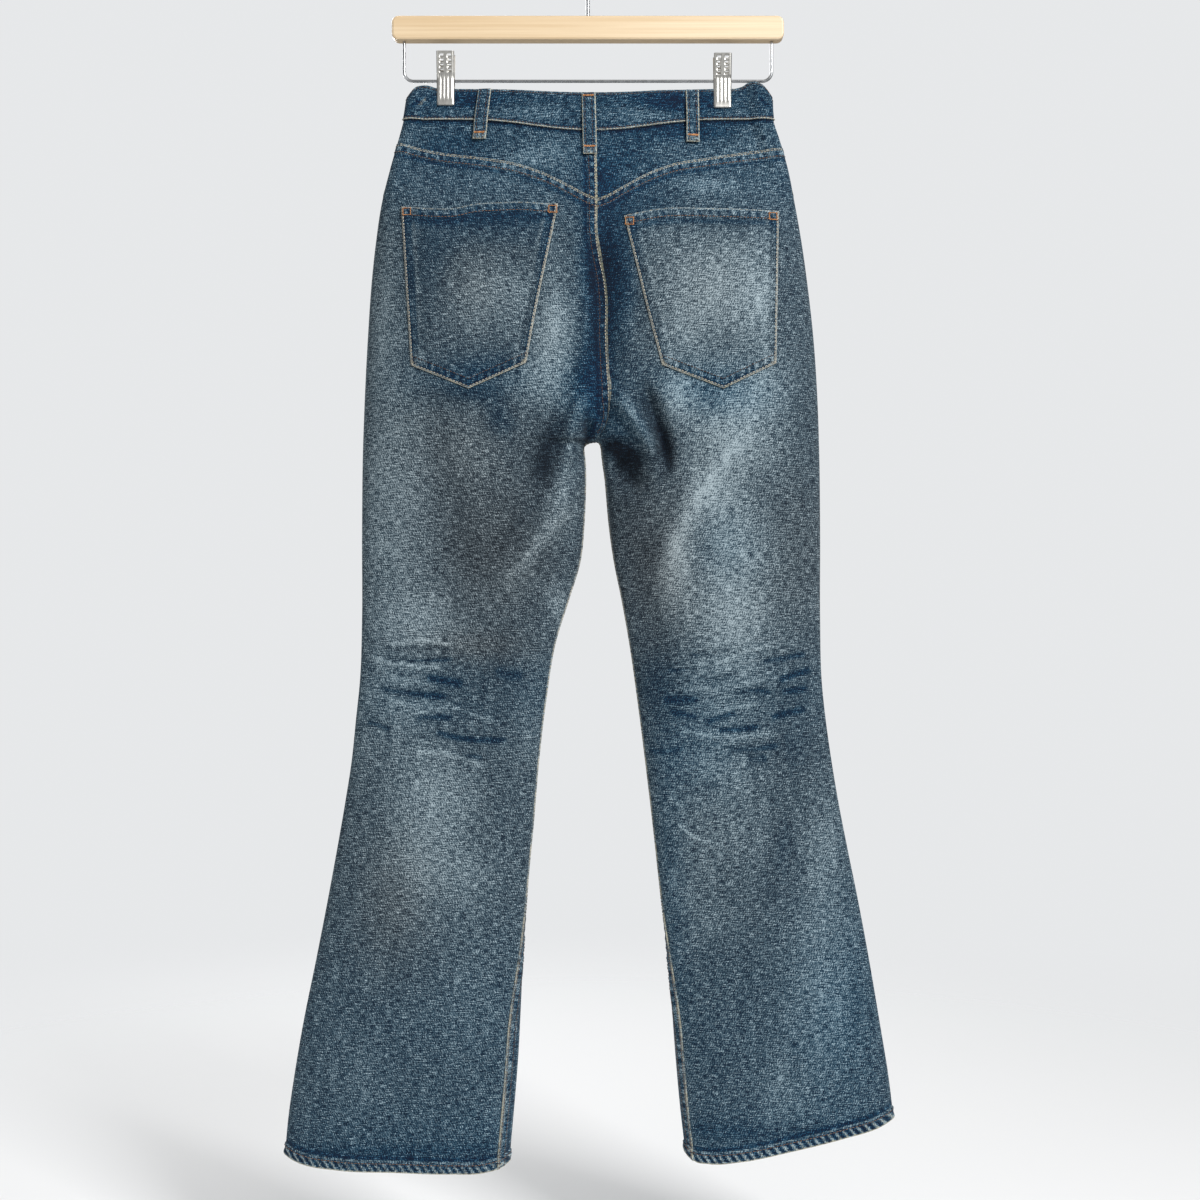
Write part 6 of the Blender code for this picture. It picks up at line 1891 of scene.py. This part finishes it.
def pale_floor():
    """A pale floor that fades into the room away from the garment."""
    mesh = bpy.data.meshes.new("floor")
    with edited(mesh) as shape:
        bmesh.ops.create_grid(shape, x_segments=1, y_segments=1, size=2.0)
    floor = placed("floor", mesh)
    floor.location.z = FLOOR_Z
    made, tree, shader = new_material("floor_paint")
    shader.inputs["Base Color"].default_value = (0.9, 0.9, 0.9, 1.0)
    shader.inputs["Roughness"].default_value = 0.9
    place = add(tree, "ShaderNodeTexCoord").outputs["Object"]
    far = add(tree, "ShaderNodeVectorMath", {"operation": "LENGTH"}, i0=place).outputs["Value"]
    there = add(tree, "ShaderNodeMapRange", {"interpolation_type": "SMOOTHSTEP"}, Value=far)
    there.inputs["From Min"].default_value = 1.9
    there.inputs["From Max"].default_value = 0.3
    tree.links.new(there.outputs[0], shader.inputs["Alpha"])
    mesh.materials.append(made)


def studio():
    """Plain pale surroundings, a soft window to the right, and the photograph's camera."""
    room_light()
    pale_floor()
    for row in LAMPS:
        lamp(*row)
    camera = bpy.data.cameras.new("camera")
    camera.lens = LENS
    camera.sensor_width = 36.0
    eye = placed("camera", camera)
    eye.location = tuple(value * MM for value in CAMERA)
    eye.rotation_euler = (math.pi / 2, 0.0, 0.0)
    bpy.context.scene.camera = eye
    bpy.context.scene.view_settings.view_transform = "Standard"


GRAIN = {"left": (-104.0, -186.0), "right": (112.0, 198.0)}  # x of the warp, waist and hem
Cut = namedtuple("Cut", "width length area")


def sew_on(name, cloth, finishes, solid, grain=None):
    """One piece, which stands for its solid."""
    obj = dress(sew_grid(name, cloth, finishes, grain), "denim", solid)


def stretch(points, n, start=0.0, end=1.0):
    """Part of a line, by share of its points."""
    a, b = int(start * (len(points) - 1)), int(end * (len(points) - 1)) + 1
    return points[a:b], n[a:b]


def pocket_threads(rows, side, cloth):
    """Rows of a pocket: pale at its edges, copper along its hem, and orange boxes as tacks."""
    _, _, from_top, from_side, from_foot = pocket_grid(side)
    middle = cloth.points.shape[1] // 2
    for half in (slice(0, middle + 1), slice(middle, None)):
        part = Cloth(*(grid[:, half] for grid in cloth))
        sew_row(rows, "ecru", part, from_side[:, half], EDGE_ROW)
        second = row_at(part, from_side[:, half], POCKET_SECOND_ROW)
        rows["copper"].append(stitches_along(*stretch(*second, 0.06, 0.17)))
    flat = turned_grid(cloth)
    sew_row(rows, "ecru", flat, from_foot.T, EDGE_ROW)
    second = row_at(flat, from_foot.T, POCKET_SECOND_ROW)
    rows["brown"].append(stitches_along(*stretch(*second, 0.05, 0.95)))
    sew_row(rows, "copper", flat, from_top.T, POCKET_HEM - 1.0)
    pocket = POCKETS[side]
    turn = SIGN[side]
    for corner, way in ((pocket.outer_top, -turn), (pocket.inner_top, turn)):
        x = corner[0] + way * 1.2
        rows["orange"].append(box_tack(cloth, x, corner[1] - 1.4, way * 7.6, POCKET_HEM - 2.2))


def leg_threads(rows, side, back, yoke, front):
    """Rows of one leg: the yoke seam, the hems, the felled seams and the pocket's mouth."""
    away = (yoke_seam_z(side, back.points[..., 0]) - back.points[..., 2]) * YOKE_SLOPE
    for yarn, distance in (("ecru", EDGE_ROW), ("copper", SECOND_ROW)):
        sew_row(rows, yarn, turned_grid(back), away.T, distance)
    for panel in (back, front):
        above_hem = panel.points[..., 2] - panel.points[-1:, :, 2]
        sew_row(rows, "copper", turned_grid(panel), above_hem.T, HEM_ROW)
    from_first, from_last = run_from(front.points, "first"), run_from(front.points, "last")
    first_z, last_z = front.points[:, 0, 2], front.points[:, -1, 2]
    leg = np.nonzero(last_z < FORK_Z)[0]
    mouth = np.nonzero(first_z > FRONT_SEAM_Z - SCOOP_DEPTH - 6)[0]
    for distance in (EDGE_ROW, SECOND_ROW):
        sew_row(rows, "brown", front, from_last, distance, leg)
    for distance in (EDGE_ROW, SECOND_ROW):
        sew_row(rows, "copper", front, from_first, distance, mouth)
    if side == "left":
        for panel in (yoke, back):
            above = np.nonzero(panel.points[:, -1, 2] > FORK_Z + 4)[0]
            for yarn, distance in (("ecru", EDGE_ROW), ("brown", SECOND_ROW)):
                sew_row(rows, yarn, panel, run_from(panel.points, "last"), distance, above)
        rise = np.nonzero(last_z > FORK_Z + 4)[0]
        for distance in (EDGE_ROW, SECOND_ROW):
            sew_row(rows, "copper", front, from_last, distance, rise)


def zigzag_tack(strip, row):
    """Close stitches to and fro across a loop, on one of its rows."""
    at = np.linspace(2, 16, 17).astype(int)
    line, n = strip.points[row][at], strip.normals[row][at]
    zigzag = line + n * 0.2
    zigzag[:, 2] += np.where(np.arange(len(at)) % 2 == 0, 0.9, -0.9)
    ahead = np.diff(zigzag, axis=0)
    lengths = np.linalg.norm(ahead, axis=-1, keepdims=True)
    place = (zigzag[1:] + zigzag[:-1]) / 2 + n[1:] * 0.2
    return np.stack([place, ahead / np.maximum(lengths, 1e-6), n[1:]], axis=1)


def dress_jeans():
    cloth = [denim_material("denim"), denim_material("denim_inside", paler=0.22)]
    yarns = {name: yarn_material(f"{name}_thread", colour) for name, colour in YARNS.items()}
    rows = {name: [] for name in YARNS}

    for side in ("left", "right"):
        back, yoke, front = back_cloth(side), yoke_cloth(side), front_cloth(side)
        facing, pocket = facing_cloth(side), pocket_cloth(side)
        sew_on(f"{side}_back_cloth", back, cloth, f"{side}_back", GRAIN[side])
        sew_on(f"{side}_yoke_cloth", yoke, cloth, f"{side}_yoke")
        sew_on(f"{side}_front_cloth", front, cloth, f"{side}_front", GRAIN[side])
        sew_on(f"{side}_facing_cloth", facing, cloth, f"{side}_pocket_facing")
        sew_on(f"{side}_pocket_cloth", pocket, cloth, f"{side}_back_pocket")
        pocket_threads(rows, side, pocket)
        leg_threads(rows, side, back, yoke, front)

    band = waistband_cloth()
    sew_on("waistband_cloth", band, cloth, "waistband")
    low = np.linalg.norm(band.points - band.points[-1:], axis=-1).T
    high = np.linalg.norm(band.points - band.points[:1], axis=-1).T
    for yarn, away, distance in (("brown", low, 2.6), ("ecru", low, 0.9), ("brown", high, 2.4)):
        sew_row(rows, yarn, turned_grid(band), away, distance)

    for loop in LOOPS:
        strip = loop_cloth(loop)
        sew_on(f"{loop.name}_cloth", strip, cloth, loop.name)
        for distance in (LOOP_ROW, LOOP_WIDTH - LOOP_ROW):
            sew_row(rows, "brown", strip, run_from(strip.points, "first"), distance)
        for row in (3, -9) if loop.name == "loop_back_centre" else (-9,):
            rows["orange"].append(zigzag_tack(strip, row))

    for yarn in ("ecru", "copper", "brown"):
        thread(f"{yarn}_stitches", rows[yarn], yarns[yarn], STITCH)
    thread("orange_tacks", rows["orange"], yarns["orange"], TACK)


def dress_hanger():
    steel = metal_material("steel_wire", (196, 198, 200), 0.26)
    nickel = metal_material("satin_nickel", (214, 212, 206), 0.36)
    bar = frame["nodes"]["hanger_bar"]
    bar.data.materials.clear()
    bar.data.materials.append(wood_material())
    hanger_hook(steel)
    hanger_frame(steel)
    for clip in CLIPS:
        clip_jaw(clip, "back", nickel)
        clip_jaw(clip, "front", nickel)
        clip_spring(clip, steel)
    waist_button(nickel)


dress_jeans()
dress_hanger()
studio()
